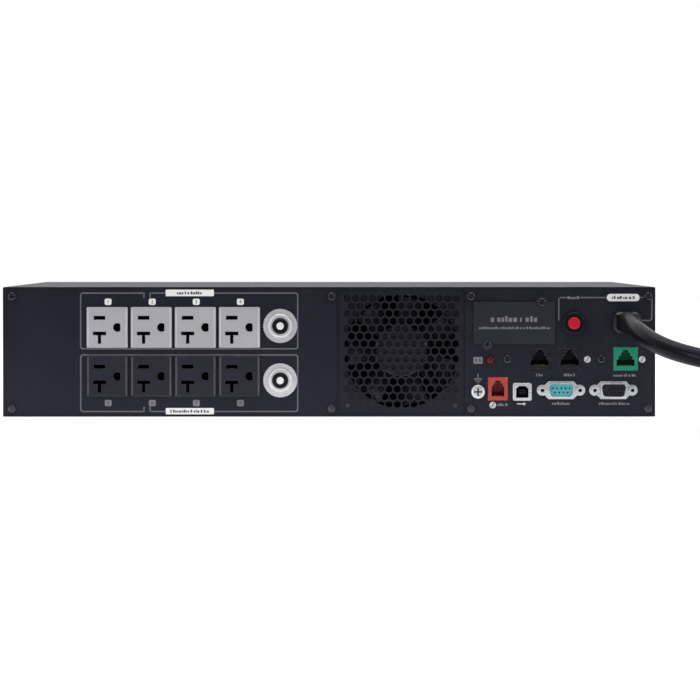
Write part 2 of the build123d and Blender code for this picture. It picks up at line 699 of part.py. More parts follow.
with BuildPart() as fan_screws:
    corners = [(FAN[0] + i * FAN_HOLES / 2, FAN[1] + j * FAN_HOLES / 2)
               for i in (-1, 1) for j in (-1, 1)]
    round_bar(corners, 4.0, WALL_IN_Y, WALL_IN_Y + FAN_DEPTH)
    round_bar(corners, 7.0, WALL_IN_Y + FAN_DEPTH, WALL_IN_Y + FAN_DEPTH + 2)
save(fan_screws.part, "fan_screws")


# ---------------------------------------------------------------- power electronics
BOARD = (-80.0, 200.0, -204.0, 2.0)
BOARD_T = 1.6
TRANSFORMER = (-200.0, -92.0, -196.0, -76.0)
HEATSINKS_X = [-28.0, 128.0]
HEATSINK = (30.0, 120.0, 52.0)
CAPACITOR = (25.0, 44.0)

with BuildPart() as main_board:
    x0, x1, y0, y1 = BOARD
    with BuildSketch(Plane.XY.offset(BOARD_Z)):
        with Locations(((x0 + x1) / 2, (y0 + y1) / 2)):
            Rectangle(x1 - x0, y1 - y0)
        with Locations(*STANDOFFS):
            Circle(1.6, mode=Mode.SUBTRACT)
    extrude(amount=BOARD_T)
save(main_board.part, "main_board")

with BuildPart() as transformer:
    x0, x1, y0, y1 = TRANSFORMER
    core = Plane.XY.offset(SHEET)
    with BuildSketch(core):
        with Locations(((x0 + x1) / 2, (y0 + y1) / 2)):
            Rectangle(x1 - x0, (y1 - y0) * 0.5)
    extrude(amount=74)
    with BuildSketch(core.offset(8)):
        with Locations(((x0 + x1) / 2, (y0 + y1) / 2)):
            RectangleRounded((x1 - x0) * 0.66, y1 - y0, 16)
    extrude(amount=58)
    with BuildSketch(core):
        with Locations(((x0 + x1) / 2, (y0 + y1) / 2)):
            Rectangle(x1 - x0 + 8, (y1 - y0) * 0.3)
    extrude(amount=3)
save(transformer.part, "transformer")

FINS = 7

with BuildPart() as heatsinks:
    width, length, height = HEATSINK
    for x in HEATSINKS_X:
        foot = Plane(origin=(x, -100, BOARD_Z + BOARD_T))
        with BuildSketch(foot):
            Rectangle(width, length)
        extrude(amount=5)
        with BuildSketch(foot.offset(5)):
            with GridLocations((width - 1.8) / (FINS - 1), 1, FINS, 1):
                Rectangle(1.8, length)
        extrude(amount=height - 5)
save(heatsinks.part, "heatsinks")

with BuildPart() as capacitors:
    cap_d, cap_h = CAPACITOR
    with BuildSketch(Plane.XY.offset(BOARD_Z + BOARD_T)):
        with Locations((50, -100)):
            with GridLocations(32, 32, 3, 4):
                Circle(cap_d / 2)
    extrude(amount=cap_h)
    fillet(capacitors.faces().group_by(Axis.Z)[-1].edges(), 1.5)
save(capacitors.part, "capacitors")

COMMS_BOARDS_Z = [28.7, 8.2]
COMMS_BOARD = (96.0, 212.0, WALL_IN_Y + 0.5, -206.0)

with BuildPart() as comms_board:
    cx, width = span(*COMMS_BOARD[:2])
    cy, length = span(*COMMS_BOARD[2:])
    for board_z in COMMS_BOARDS_Z:
        with BuildSketch(Plane.XY.offset(board_z)):
            with Locations((cx, cy)):
                Rectangle(width, length)
        extrude(amount=BOARD_T)
save(comms_board.part, "comms_board")

# ---------------------------------------------------------------- battery drawer
TRAY_LIP = 42.0

with BuildPart() as battery_tray:
    x0, x1 = DRAWER_X - DRAWER_W / 2, DRAWER_X + DRAWER_W / 2
    rear_slab(x0, x1, DRAWER_Z, DRAWER_Z + SHEET, DRAWER_BACK_Y, DRAWER_FRONT_Y)
    for edge in (x0, x1 - SHEET):
        rear_slab(edge, edge + SHEET, DRAWER_Z + SHEET, TRAY_LIP, DRAWER_BACK_Y, DRAWER_FRONT_Y)
    rear_slab(x0, x1, DRAWER_Z + SHEET, TRAY_LIP, DRAWER_BACK_Y, DRAWER_BACK_Y + SHEET)
    rear_slab(x0, x1, DRAWER_Z + SHEET, 78, DRAWER_FRONT_Y - SHEET, DRAWER_FRONT_Y)
    with BuildSketch(Plane.XY.offset(34)):
        with Locations((DRAWER_X, DRAWER_FRONT_Y + 6)):
            Rectangle(90, 12)
        with Locations((DRAWER_X, DRAWER_FRONT_Y + 4)):
            Rectangle(82, 8, mode=Mode.SUBTRACT)
    extrude(amount=16)
    fillet(battery_tray.faces().sort_by(Axis.Y)[-1].edges().filter_by(Axis.Z), 3.0)
save(battery_tray.part, "battery_tray")

BATTERY_GAP = 0.6

with BuildPart() as batteries:
    long, deep, high = BATTERY
    floor_z = DRAWER_Z + SHEET
    middle_y = DRAWER_BACK_Y + DRAWER_D / 2
    for i in (-1, 1):
        for j in (-1, 1):
            cx = DRAWER_X + i * (long + BATTERY_GAP) / 2
            cy = middle_y + j * (deep + BATTERY_GAP) / 2
            with BuildSketch(Plane.XY.offset(floor_z)):
                with Locations((cx, cy)):
                    RectangleRounded(long, deep, 2.5)
            extrude(amount=high)
            with BuildSketch(Plane.XY.offset(floor_z + high)):
                with Locations((cx - 62, cy - 38), (cx + 62, cy - 38)):
                    Rectangle(6.3, 0.8)
            extrude(amount=5)
save(batteries.part, "batteries")

# ---------------------------------------------------------------- front
BEZEL_WALL = 2.5
BEZEL_LOW = MID_Z - BEZEL_H / 2
BEZEL_HIGH = MID_Z + BEZEL_H / 2
COVER_GAP = 0.4
BEZEL_ROUND = 5.0
VENT_W = 3.4
LCD = (160.0, 55.0, 62.0, 34.0)
BUTTONS = {"power_button": (135.0, 20.0, 15.0), "scroll_button": (163.0, 20.0, 9.0),
           "select_button": (185.0, 20.0, 9.0)}
BUTTON_Y = BEZEL_Y - 0.8
RECESS = (108.0, 210.0, 7.0, 79.0, 2.5)
GLASS_Y = BEZEL_Y - RECESS[4] - 0.3
INSIDE_Y = BEZEL_Y - BEZEL_ROUND - 1


def bezel_shell(x0, x1):
    """A plastic front moulding, open towards the steel body, in the open part."""
    cx, width = span(x0, x1)
    with BuildSketch(facing_rear(FRONT_Y)) as outline:
        with Locations((cx, MID_Z)):
            Rectangle(width, BEZEL_H)
    extrude(to_extrude=outline.sketch, amount=-BEZEL_D)


with BuildPart() as front_bezel:
    bezel_shell(COVER_RIGHT_X + COVER_GAP, HALF_W)
    chamfer(front_bezel.faces().sort_by(Axis.Y)[-1].edges(), BEZEL_ROUND)
    rear_slab(COVER_RIGHT_X + COVER_GAP + BEZEL_WALL, HALF_W - BEZEL_WALL, BEZEL_LOW + BEZEL_WALL,
              BEZEL_HIGH - BEZEL_WALL, FRONT_Y, INSIDE_Y, mode=Mode.SUBTRACT)
    with BuildSketch(facing_rear(BEZEL_Y)):
        cx, width = span(*RECESS[:2])
        cz, height = span(*RECESS[2:4])
        with Locations((cx, cz)):
            RectangleRounded(width, height, 5)
    extrude(amount=RECESS[4], mode=Mode.SUBTRACT)
    with BuildSketch(facing_rear(BEZEL_Y)):
        with Locations(LCD[:2]):
            RectangleRounded(LCD[2], LCD[3], 3)
        for x, z, diameter in BUTTONS.values():
            with Locations((x, z)):
                Circle(diameter / 2 + 0.3)
        with Locations((118, LCD[1]), (202, LCD[1])):
            with GridLocations(1, 8, 1, 5):
                SlotOverall(11, 3)
    extrude(amount=BEZEL_D, mode=Mode.SUBTRACT)
save(front_bezel.part, "front_bezel")

with BuildPart() as battery_cover:
    bezel_shell(-HALF_W, COVER_RIGHT_X)
    chamfer(battery_cover.faces().sort_by(Axis.Y)[-1].edges(), BEZEL_ROUND)
    rear_slab(-HALF_W + BEZEL_WALL, COVER_RIGHT_X - BEZEL_WALL, BEZEL_LOW + BEZEL_WALL,
              BEZEL_HIGH - BEZEL_WALL, FRONT_Y, INSIDE_Y, mode=Mode.SUBTRACT)
    with BuildSketch(facing_rear(BEZEL_Y)):
        for z in (24, 43, 62):
            with Locations((DRAWER_X, z)):
                with GridLocations(12.5, 1, 21, 1):
                    SlotOverall(13, VENT_W, rotation=90)
    extrude(amount=BEZEL_ROUND + 1, mode=Mode.SUBTRACT)
    for side in (-HALF_W, COVER_RIGHT_X - 4):
        rear_slab(side, side + 4, 30, 56, BEZEL_Y - 22, BEZEL_Y - 8, mode=Mode.SUBTRACT)
save(battery_cover.part, "battery_cover")

with BuildPart() as display_module:
    with BuildSketch(facing_rear(GLASS_Y)):
        with Locations(LCD[:2]):
            RectangleRounded(LCD[2] - 0.6, LCD[3] - 0.6, 2.7)
    extrude(amount=GLASS_Y - INSIDE_Y + GAP)
    rear_slab(LCD[0] - LCD[2] / 2 - 4, LCD[0] + LCD[2] / 2 + 4, LCD[1] - LCD[3] / 2 - 3,
              LCD[1] + LCD[3] / 2 + 3, INSIDE_Y - GAP - 8, INSIDE_Y - GAP)
save(display_module.part, "display_module")

for node_name, (x, z, diameter) in BUTTONS.items():
    with BuildPart() as front_button:
        round_bar([(x, z)], diameter, BUTTON_Y - 8, BUTTON_Y)
        fillet(front_button.faces().sort_by(Axis.Y)[-1].edges(), 0.8)
    save(front_button.part, node_name)

EAR_T = 2.0
EAR_DEPTH = 80.0

with BuildPart() as rack_ears:
    ear_low, ear_high = MID_Z - RACK_EAR_H / 2, MID_Z + RACK_EAR_H / 2
    for side in (-1, 1):
        near, far = sorted((side * HALF_W, side * (HALF_W + EAR_T)))
        rear_slab(near, far, ear_low + 3, ear_high - 3, FRONT_Y - EAR_DEPTH, FRONT_Y)
        near, far = sorted((side * HALF_W, side * RACK_W / 2))
        rear_slab(near, far, ear_low, ear_high, FRONT_Y - EAR_T, FRONT_Y)
        with BuildSketch(facing_rear(FRONT_Y)):
            with Locations((side * RACK_HOLES_X / 2, MID_Z)):
                with GridLocations(1, RACK_HOLES_Z, 1, 2):
                    SlotOverall(*RACK_SLOT)
        extrude(amount=EAR_T, mode=Mode.SUBTRACT)
        with BuildSketch(Plane.YZ.offset(side * (HALF_W + EAR_T))):
            with Locations(*[(y, z) for y in EAR_SCREWS_Y for z in EAR_SCREWS_Z]):
                Circle(2.2)
        extrude(amount=-side * EAR_T, mode=Mode.SUBTRACT)
save(rack_ears.part, "rack_ears")

with BuildPart() as ear_screws:
    for side in (-1, 1):
        places = [Plane(origin=(side * (HALF_W + EAR_T), y, z), x_dir=(0, 1, 0),
                        z_dir=(-side, 0, 0)).location for y in EAR_SCREWS_Y for z in EAR_SCREWS_Z]
        with Locations(*places):
            add(pan_screw(7.0, 2.0, 4.0, 6))
save(ear_screws.part, "ear_screws")

# ---------------------------------------------------------------- mains lead
with BuildPart() as cord_gland:
    with BuildSketch(facing_rear(REAR_Y)):
        with Locations(CORD_EXIT):
            RectangleRounded(18.4, 14.0, 4.0)
    extrude(amount=GLAND_PROUD)
    chamfer(cord_gland.faces().sort_by(Axis.Y)[0].edges(), 1.6)
    with BuildSketch(facing_rear(REAR_Y + 10)):
        with Locations(CORD_EXIT):
            RectangleRounded(16.6, 12.6, 3.4)
    extrude(amount=10)
save(cord_gland.part, "cord_gland")

with BuildPart() as strain_relief:
    gland_face = facing_rear(REAR_Y - GLAND_PROUD)
    with BuildSketch(gland_face):
        with Locations(CORD_EXIT):
            Circle(6.95)
    with BuildSketch(gland_face.offset(RELIEF_L)):
        with Locations(CORD_EXIT):
            Circle(CORD_R + 0.4)
    loft()
save(strain_relief.part, "strain_relief")


def on_coil(turn_degrees, radius, z):
    """A point on the coil, at this many degrees round it."""
    angle = math.radians(turn_degrees)
    return (COIL_CENTRE[0] + radius * math.cos(angle), COIL_CENTRE[1] + radius * math.sin(angle), z)


OUTER_R = COIL_MEAN_R + (COIL_ABREAST - 1) / 2 * CORD_D
TOP_Z = CORD_R + (COIL_LAYERS - 1) * CORD_D

LEAD_IN = [
    (CORD_EXIT[0], RELIEF_END_Y, CORD_EXIT[1]),
    (198.6, -294.0, 60.0),
    (207.0, -318.0, 52.0),
    (224.0, -338.0, 44.5),
    (247.0, -352.0, 39.5),
    (273.0, -360.0, 33.5),
    (300.0, -363.0, 24.5),
    (327.0, -359.0, 15.5),
    (354.0, -350.5, 9.5),
    (379.0, -339.5, 6.6),
    on_coil(COIL_TURN_IN, OUTER_R, CORD_R + 0.1),
]
TAIL = [
    on_coil(-10.0, OUTER_R, TOP_Z),
    (454.6, -244.0, 18.0),
    (456.6, -223.0, 16.4),
    (457.0, -202.5, 15.0),
    (PLUG_X, PLUG_REAR_Y, PLUG_AXIS_Z),
]


def cord_radii(points):
    """The largest tangent arc that each corner's two runs allow."""
    radii = []
    for before, here, after in zip(points, points[1:], points[2:]):
        run_in = Vector(*here) - Vector(*before)
        run_out = Vector(*after) - Vector(*here)
        half_turn = math.radians(run_in.get_angle(run_out)) / 2
        radii.append(0.45 * min(run_in.length, run_out.length) / math.tan(half_turn))
    return radii


def cord_tube(points, name):
    """A round cord along straight runs joined by tangent arcs."""
    radii = cord_radii(points)
    print(name, "arc radii:", " ".join(f"{radius:.0f}" for radius in radii))
    with BuildPart() as tube:
        with BuildLine() as route:
            FilletPolyline(*points, radius=radii)
        path = route.wires()[0]
        with BuildSketch(Plane(origin=path @ 0, z_dir=path % 0)):
            Circle(CORD_R)
        sweep(path=path)
    expected = math.pi * CORD_R ** 2 * path.length
    print(name, f"length {path.length:.1f}, volume over section times length",
          f"{tube.part.volume / expected:.4f}")
    return tube.part


with BuildPart() as power_cord:
    add(cord_tube(LEAD_IN, "lead-in"))
    add(cord_tube(TAIL, "tail"))
save(power_cord.part, "power_cord")

COIL_MARGIN = 0.4

with BuildPart() as power_cord_coil:
    with BuildSketch(Plane.XY):
        with Locations(COIL_CENTRE):
            Circle(OUTER_R + CORD_R + COIL_MARGIN)
            Circle(2 * COIL_MEAN_R - OUTER_R - CORD_R - COIL_MARGIN, mode=Mode.SUBTRACT)
    extrude(amount=COIL_LAYERS * CORD_D + 0.3)
    fillet(power_cord_coil.edges().filter_by(GeomType.CIRCLE), CORD_R - 0.4)
save(power_cord_coil.part, "power_cord_coil")

PLUG_W = 37.0
PLUG_T = 2 * PLUG_AXIS_Z
PLUG_RELIEF_L = 24.0
PLUG_L = 42.0
PLUG_BODY_Y = PLUG_REAR_Y + PLUG_RELIEF_L
PLUG_FACE_Y = PLUG_BODY_Y + PLUG_L

with BuildPart() as plug_body:
    with BuildSketch(facing_rear(PLUG_REAR_Y)):
        with Locations((PLUG_X, PLUG_AXIS_Z)):
            Circle(CORD_R + 0.5)
    with BuildSketch(facing_rear(PLUG_BODY_Y)):
        with Locations((PLUG_X, PLUG_AXIS_Z)):
            Circle(9.0)
    loft()
    with BuildSketch(facing_rear(PLUG_BODY_Y)):
        with Locations((PLUG_X, PLUG_AXIS_Z)):
            RectangleRounded(22, 20, 8)
    with BuildSketch(facing_rear(PLUG_BODY_Y + 18)):
        with Locations((PLUG_X, PLUG_AXIS_Z)):
            RectangleRounded(PLUG_W, PLUG_T, 8)
    loft()
    with BuildSketch(facing_rear(PLUG_FACE_Y)):
        with Locations((PLUG_X, PLUG_AXIS_Z)):
            RectangleRounded(PLUG_W, PLUG_T, 8)
    extrude(amount=PLUG_L - 18)
save(plug_body.part, "plug_body")

with BuildPart() as plug_blades:
    with BuildSketch(facing_rear(PLUG_FACE_Y)):
        with Locations((PLUG_X - 6.35, PLUG_AXIS_Z + 4)):
            Rectangle(1.5, 6.35)
        with Locations((PLUG_X + 6.35, PLUG_AXIS_Z + 4)):
            Rectangle(6.35, 1.5)
        with Locations((PLUG_X, PLUG_AXIS_Z - 7.9)):
            Circle(2.4)
    extrude(amount=-18)
    chamfer(plug_blades.faces().group_by(Axis.Y)[-1].edges(), 0.4)
save(plug_blades.part, "plug_blades")

print(len(WRITTEN), "nodes")
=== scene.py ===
"""Rackmount uninterruptible power supply: looks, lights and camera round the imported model.

Sizes are in metres in the part's own frame: +Z up, the rear connector face looks along -Y,
and +X is to the right seen from behind. MM turns millimetres into metres.
"""
import json
import math
import random

import bmesh
import bpy
from mathutils import Matrix, Vector


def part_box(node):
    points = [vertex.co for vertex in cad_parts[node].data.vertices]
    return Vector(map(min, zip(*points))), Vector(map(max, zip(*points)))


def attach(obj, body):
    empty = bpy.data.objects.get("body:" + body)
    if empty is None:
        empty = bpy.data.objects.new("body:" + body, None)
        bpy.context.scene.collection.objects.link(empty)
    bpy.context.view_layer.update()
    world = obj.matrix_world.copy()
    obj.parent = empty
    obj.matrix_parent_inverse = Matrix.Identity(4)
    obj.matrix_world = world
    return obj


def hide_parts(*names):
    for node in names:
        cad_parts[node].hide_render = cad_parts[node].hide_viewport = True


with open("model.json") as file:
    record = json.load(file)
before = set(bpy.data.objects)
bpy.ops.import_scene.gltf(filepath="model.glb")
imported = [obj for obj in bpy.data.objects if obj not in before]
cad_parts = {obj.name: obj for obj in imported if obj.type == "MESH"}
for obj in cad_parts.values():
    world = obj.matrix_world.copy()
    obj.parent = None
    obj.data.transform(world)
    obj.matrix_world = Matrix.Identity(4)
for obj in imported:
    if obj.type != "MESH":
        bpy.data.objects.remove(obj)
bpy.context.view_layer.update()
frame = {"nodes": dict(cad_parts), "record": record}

MM = 0.001
BODY = "chassis"
scene = bpy.context.scene

# Places worked out from the frame.
BASE_LOW, BASE_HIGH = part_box("chassis_base")
REAR_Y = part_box("rear_outlet_panel")[0].y
BEZEL_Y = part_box("front_bezel")[1].y


def middle(node):
    """The middle of a CAD node's box."""
    low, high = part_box(node)
    return (low + high) / 2


# ---------------------------------------------------------------- camera
def make_camera():
    """A long lens behind the unit, a little above its top, as in a catalogue picture."""
    aim = Vector((0.0138, REAR_Y, 0.0442))
    place = Vector((0.0, REAR_Y - 3.0, 0.112))
    data = bpy.data.cameras.new("camera")
    data.lens = 232.5
    data.sensor_width = 36.0
    data.clip_start = 0.05
    data.clip_end = 60.0
    camera = bpy.data.objects.new("camera", data)
    camera.location = place
    camera.rotation_euler = (aim - place).to_track_quat("-Z", "Y").to_euler()
    scene.collection.objects.link(camera)
    scene.camera = camera


# ---------------------------------------------------------------- mesh helpers
def mesh_object(name, bm, material, body=BODY, smooth=False):
    """A new piece from a bmesh, with its material, riding on a body."""
    bmesh.ops.recalc_face_normals(bm, faces=bm.faces)
    data = bpy.data.meshes.new(name)
    bm.to_mesh(data)
    bm.free()
    data.materials.append(material)
    if smooth:
        data.shade_smooth()
    piece = bpy.data.objects.new(name, data)
    scene.collection.objects.link(piece)
    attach(piece, body)
    return piece


def prism(bm, outline, y_low, y_high):
    """A closed prism along Y from an outline of (x, z) points in millimetres."""
    near = [bm.verts.new((x * MM, y_low, z * MM)) for x, z in outline]
    far = [bm.verts.new((x * MM, y_high, z * MM)) for x, z in outline]
    bm.faces.new(near)
    bm.faces.new(list(reversed(far)))
    count = len(outline)
    for i in range(count):
        j = (i + 1) % count
        bm.faces.new((near[i], far[i], far[j], near[j]))


def bar(x0, x1, z0, z1):
    """A rectangle's outline."""
    return [(x0, z0), (x1, z0), (x1, z1), (x0, z1)]


def rounded(cx, cz, width, height, radius, steps=6):
    """A rounded rectangle's outline."""
    points = []
    corners = ((1, 1, 0), (-1, 1, 90), (-1, -1, 180), (1, -1, 270))
    for sx, sz, start in corners:
        for i in range(steps + 1):
            angle = math.radians(start + 90 * i / steps)
            points.append((cx + sx * (width / 2 - radius) + radius * math.cos(angle),
                           cz + sz * (height / 2 - radius) + radius * math.sin(angle)))
    return points


def disc(cx, cz, radius, steps=28):
    """A circle's outline."""
    return [(cx + radius * math.cos(2 * math.pi * i / steps),
             cz + radius * math.sin(2 * math.pi * i / steps)) for i in range(steps)]


def words(cx, cz, width, height, seed):
    """Bars that stand in for a line of print, with no letters in it."""
    draw = random.Random(seed)
    bars = []
    x = cx - width / 2
    while x < cx + width / 2 - height * 0.2:
        stroke = min(height * draw.uniform(0.35, 0.8), cx + width / 2 - x)
        tall = height if draw.random() < 0.35 else height * 0.72
        bars.append(bar(x, x + stroke, cz - height / 2, cz - height / 2 + tall))
        x += stroke + height * draw.choice((0.18, 0.18, 0.2, 0.5))
    return bars


def printed(name, outlines, material, y=None, thickness=0.05, body=BODY):
    """Print, a label, or a painted highlight or shade, as a thin sheet on a face that looks along -Y.
    """
    base = REAR_Y if y is None else y
    bm = bmesh.new()
    for outline in outlines:
        prism(bm, outline, base - thickness * MM, base + 0.01 * MM)
    return mesh_object(name, bm, material, body)


# ---------------------------------------------------------------- materials
class Nodes:
    """A small helper that builds one material's node tree."""

    def __init__(self, name):
        self.material = bpy.data.materials.new(name)
        self.material.use_nodes = True
        self.tree = self.material.node_tree
        self.shader = self.tree.nodes["Principled BSDF"]
        self.place = self.tree.nodes.new("ShaderNodeTexCoord").outputs["Object"]

    def add(self, kind, **values):
        """A new node with some of its settings."""
        node = self.tree.nodes.new(kind)
        for key, value in values.items():
            setattr(node, key, value)
        return node

    def link(self, source, target):
        """Join two sockets."""
        self.tree.links.new(source, target)

    def noise(self, scale, detail=3.0, rough=0.55):
        """A noise value over the piece."""
        node = self.add("ShaderNodeTexNoise")
        node.inputs["Scale"].default_value = scale
        node.inputs["Detail"].default_value = detail
        node.inputs["Roughness"].default_value = rough
        self.link(self.place, node.inputs["Vector"])
        return node.outputs["Fac"]

    def ramp(self, value, low, high, out_low, out_high):
        """A value moved from one range to another, and held at its ends."""
        node = self.add("ShaderNodeMapRange")
        node.inputs["From Min"].default_value = low
        node.inputs["From Max"].default_value = high
        node.inputs["To Min"].default_value = out_low
        node.inputs["To Max"].default_value = out_high
        self.link(value, node.inputs["Value"])
        return node.outputs["Result"]

    def multiply(self, a, b):
        """The product of two values."""
        node = self.add("ShaderNodeMath", operation="MULTIPLY")
        self.link(a, node.inputs[0])
        self.link(b, node.inputs[1])
        return node.outputs[0]

    def mix(self, factor, first, second):
        """A colour mix; either colour may be a socket or an (r, g, b)."""
        node = self.add("ShaderNodeMix", data_type="RGBA")
        self.link(factor, node.inputs[0])
        for socket, value in ((node.inputs[6], first), (node.inputs[7], second)):
            if isinstance(value, tuple):
                socket.default_value = (*value, 1.0)
            else:
                self.link(value, socket)
        return node.outputs[2]

    def edges(self, radius):
        """Rounded normals, and a mask that is 1 along convex and concave edges."""
        bevel = self.add("ShaderNodeBevel", samples=4)
        bevel.inputs["Radius"].default_value = radius
        normal = self.add("ShaderNodeNewGeometry").outputs["Normal"]
        dot = self.add("ShaderNodeVectorMath", operation="DOT_PRODUCT")
        self.link(bevel.outputs[0], dot.inputs[0])
        self.link(normal, dot.inputs[1])
        return bevel.outputs[0], self.ramp(dot.outputs["Value"], 0.995, 0.80, 0.0, 1.0)

    def bump(self, height, strength, distance, normal=None):
        """A normal roughened by a height."""
        node = self.add("ShaderNodeBump")
        node.inputs["Strength"].default_value = strength
        node.inputs["Distance"].default_value = distance
        self.link(height, node.inputs["Height"])
        if normal is not None:
            self.link(normal, node.inputs["Normal"])
        return node.outputs["Normal"]


def finish(name, colour, second, roughness, spread=0.08, metallic=0.0, grain=900.0, bump=0.12,
           depth=0.05, round_mm=0.25, wear_and_edge_highlight=None, wear_and_edge_highlight_amount=0.5, specular=0.5, coat=0.0,
           tint=None, brushed=None, patch=35.0):
    """A surface with slow colour variation, fine grain, uneven gloss and coloured edges: worn on most
    finishes, a painted highlight on some.
    """
    n = Nodes(name)
    shader = n.shader
    if tint:
        shader.inputs["Specular Tint"].default_value = (*tint, 1.0)
    shader.inputs["Metallic"].default_value = metallic
    shader.inputs["Specular IOR Level"].default_value = specular
    shader.inputs["Coat Weight"].default_value = coat
    slow = n.noise(patch, 4.0)
    fine = n.noise(grain, 2.0)
    base = n.mix(n.ramp(slow, 0.35, 0.65, 0.0, 1.0), colour, second)
    normal, edge = n.edges(round_mm * MM)
    # colour along the edges: worn edges on most finishes, a painted highlight on the dark
    # receptacles, the jacks and the gland
    if wear_and_edge_highlight:
        broken = n.ramp(n.noise(260.0, 5.0, 0.7), 0.42, 0.62, 0.0, wear_and_edge_highlight_amount)
        base = n.mix(n.multiply(edge, broken), base, wear_and_edge_highlight)
    n.link(base, shader.inputs["Base Color"])
    gloss = n.ramp(n.noise(patch * 2.3, 5.0, 0.65), 0.3, 0.7, roughness - spread, roughness + spread)
    n.link(gloss, shader.inputs["Roughness"])
    height = fine
    if brushed:
        stretch = n.add("ShaderNodeMapping")
        stretch.inputs["Scale"].default_value = brushed
        n.link(n.place, stretch.inputs["Vector"])
        streak = n.add("ShaderNodeTexNoise")
        streak.inputs["Scale"].default_value = 60.0
        streak.inputs["Detail"].default_value = 4.0
        n.link(stretch.outputs[0], streak.inputs["Vector"])
        height = streak.outputs["Fac"]
    n.link(n.bump(height, bump, depth * MM, normal), shader.inputs["Normal"])
    return n.material


def glowing(material, strength):
    """Add a little light of its own, as a lit table has."""
    shader = material.node_tree.nodes["Principled BSDF"]
    shader.inputs["Emission Color"].default_value = (1.0, 1.0, 1.0, 1.0)
    shader.inputs["Emission Strength"].default_value = strength
    return material


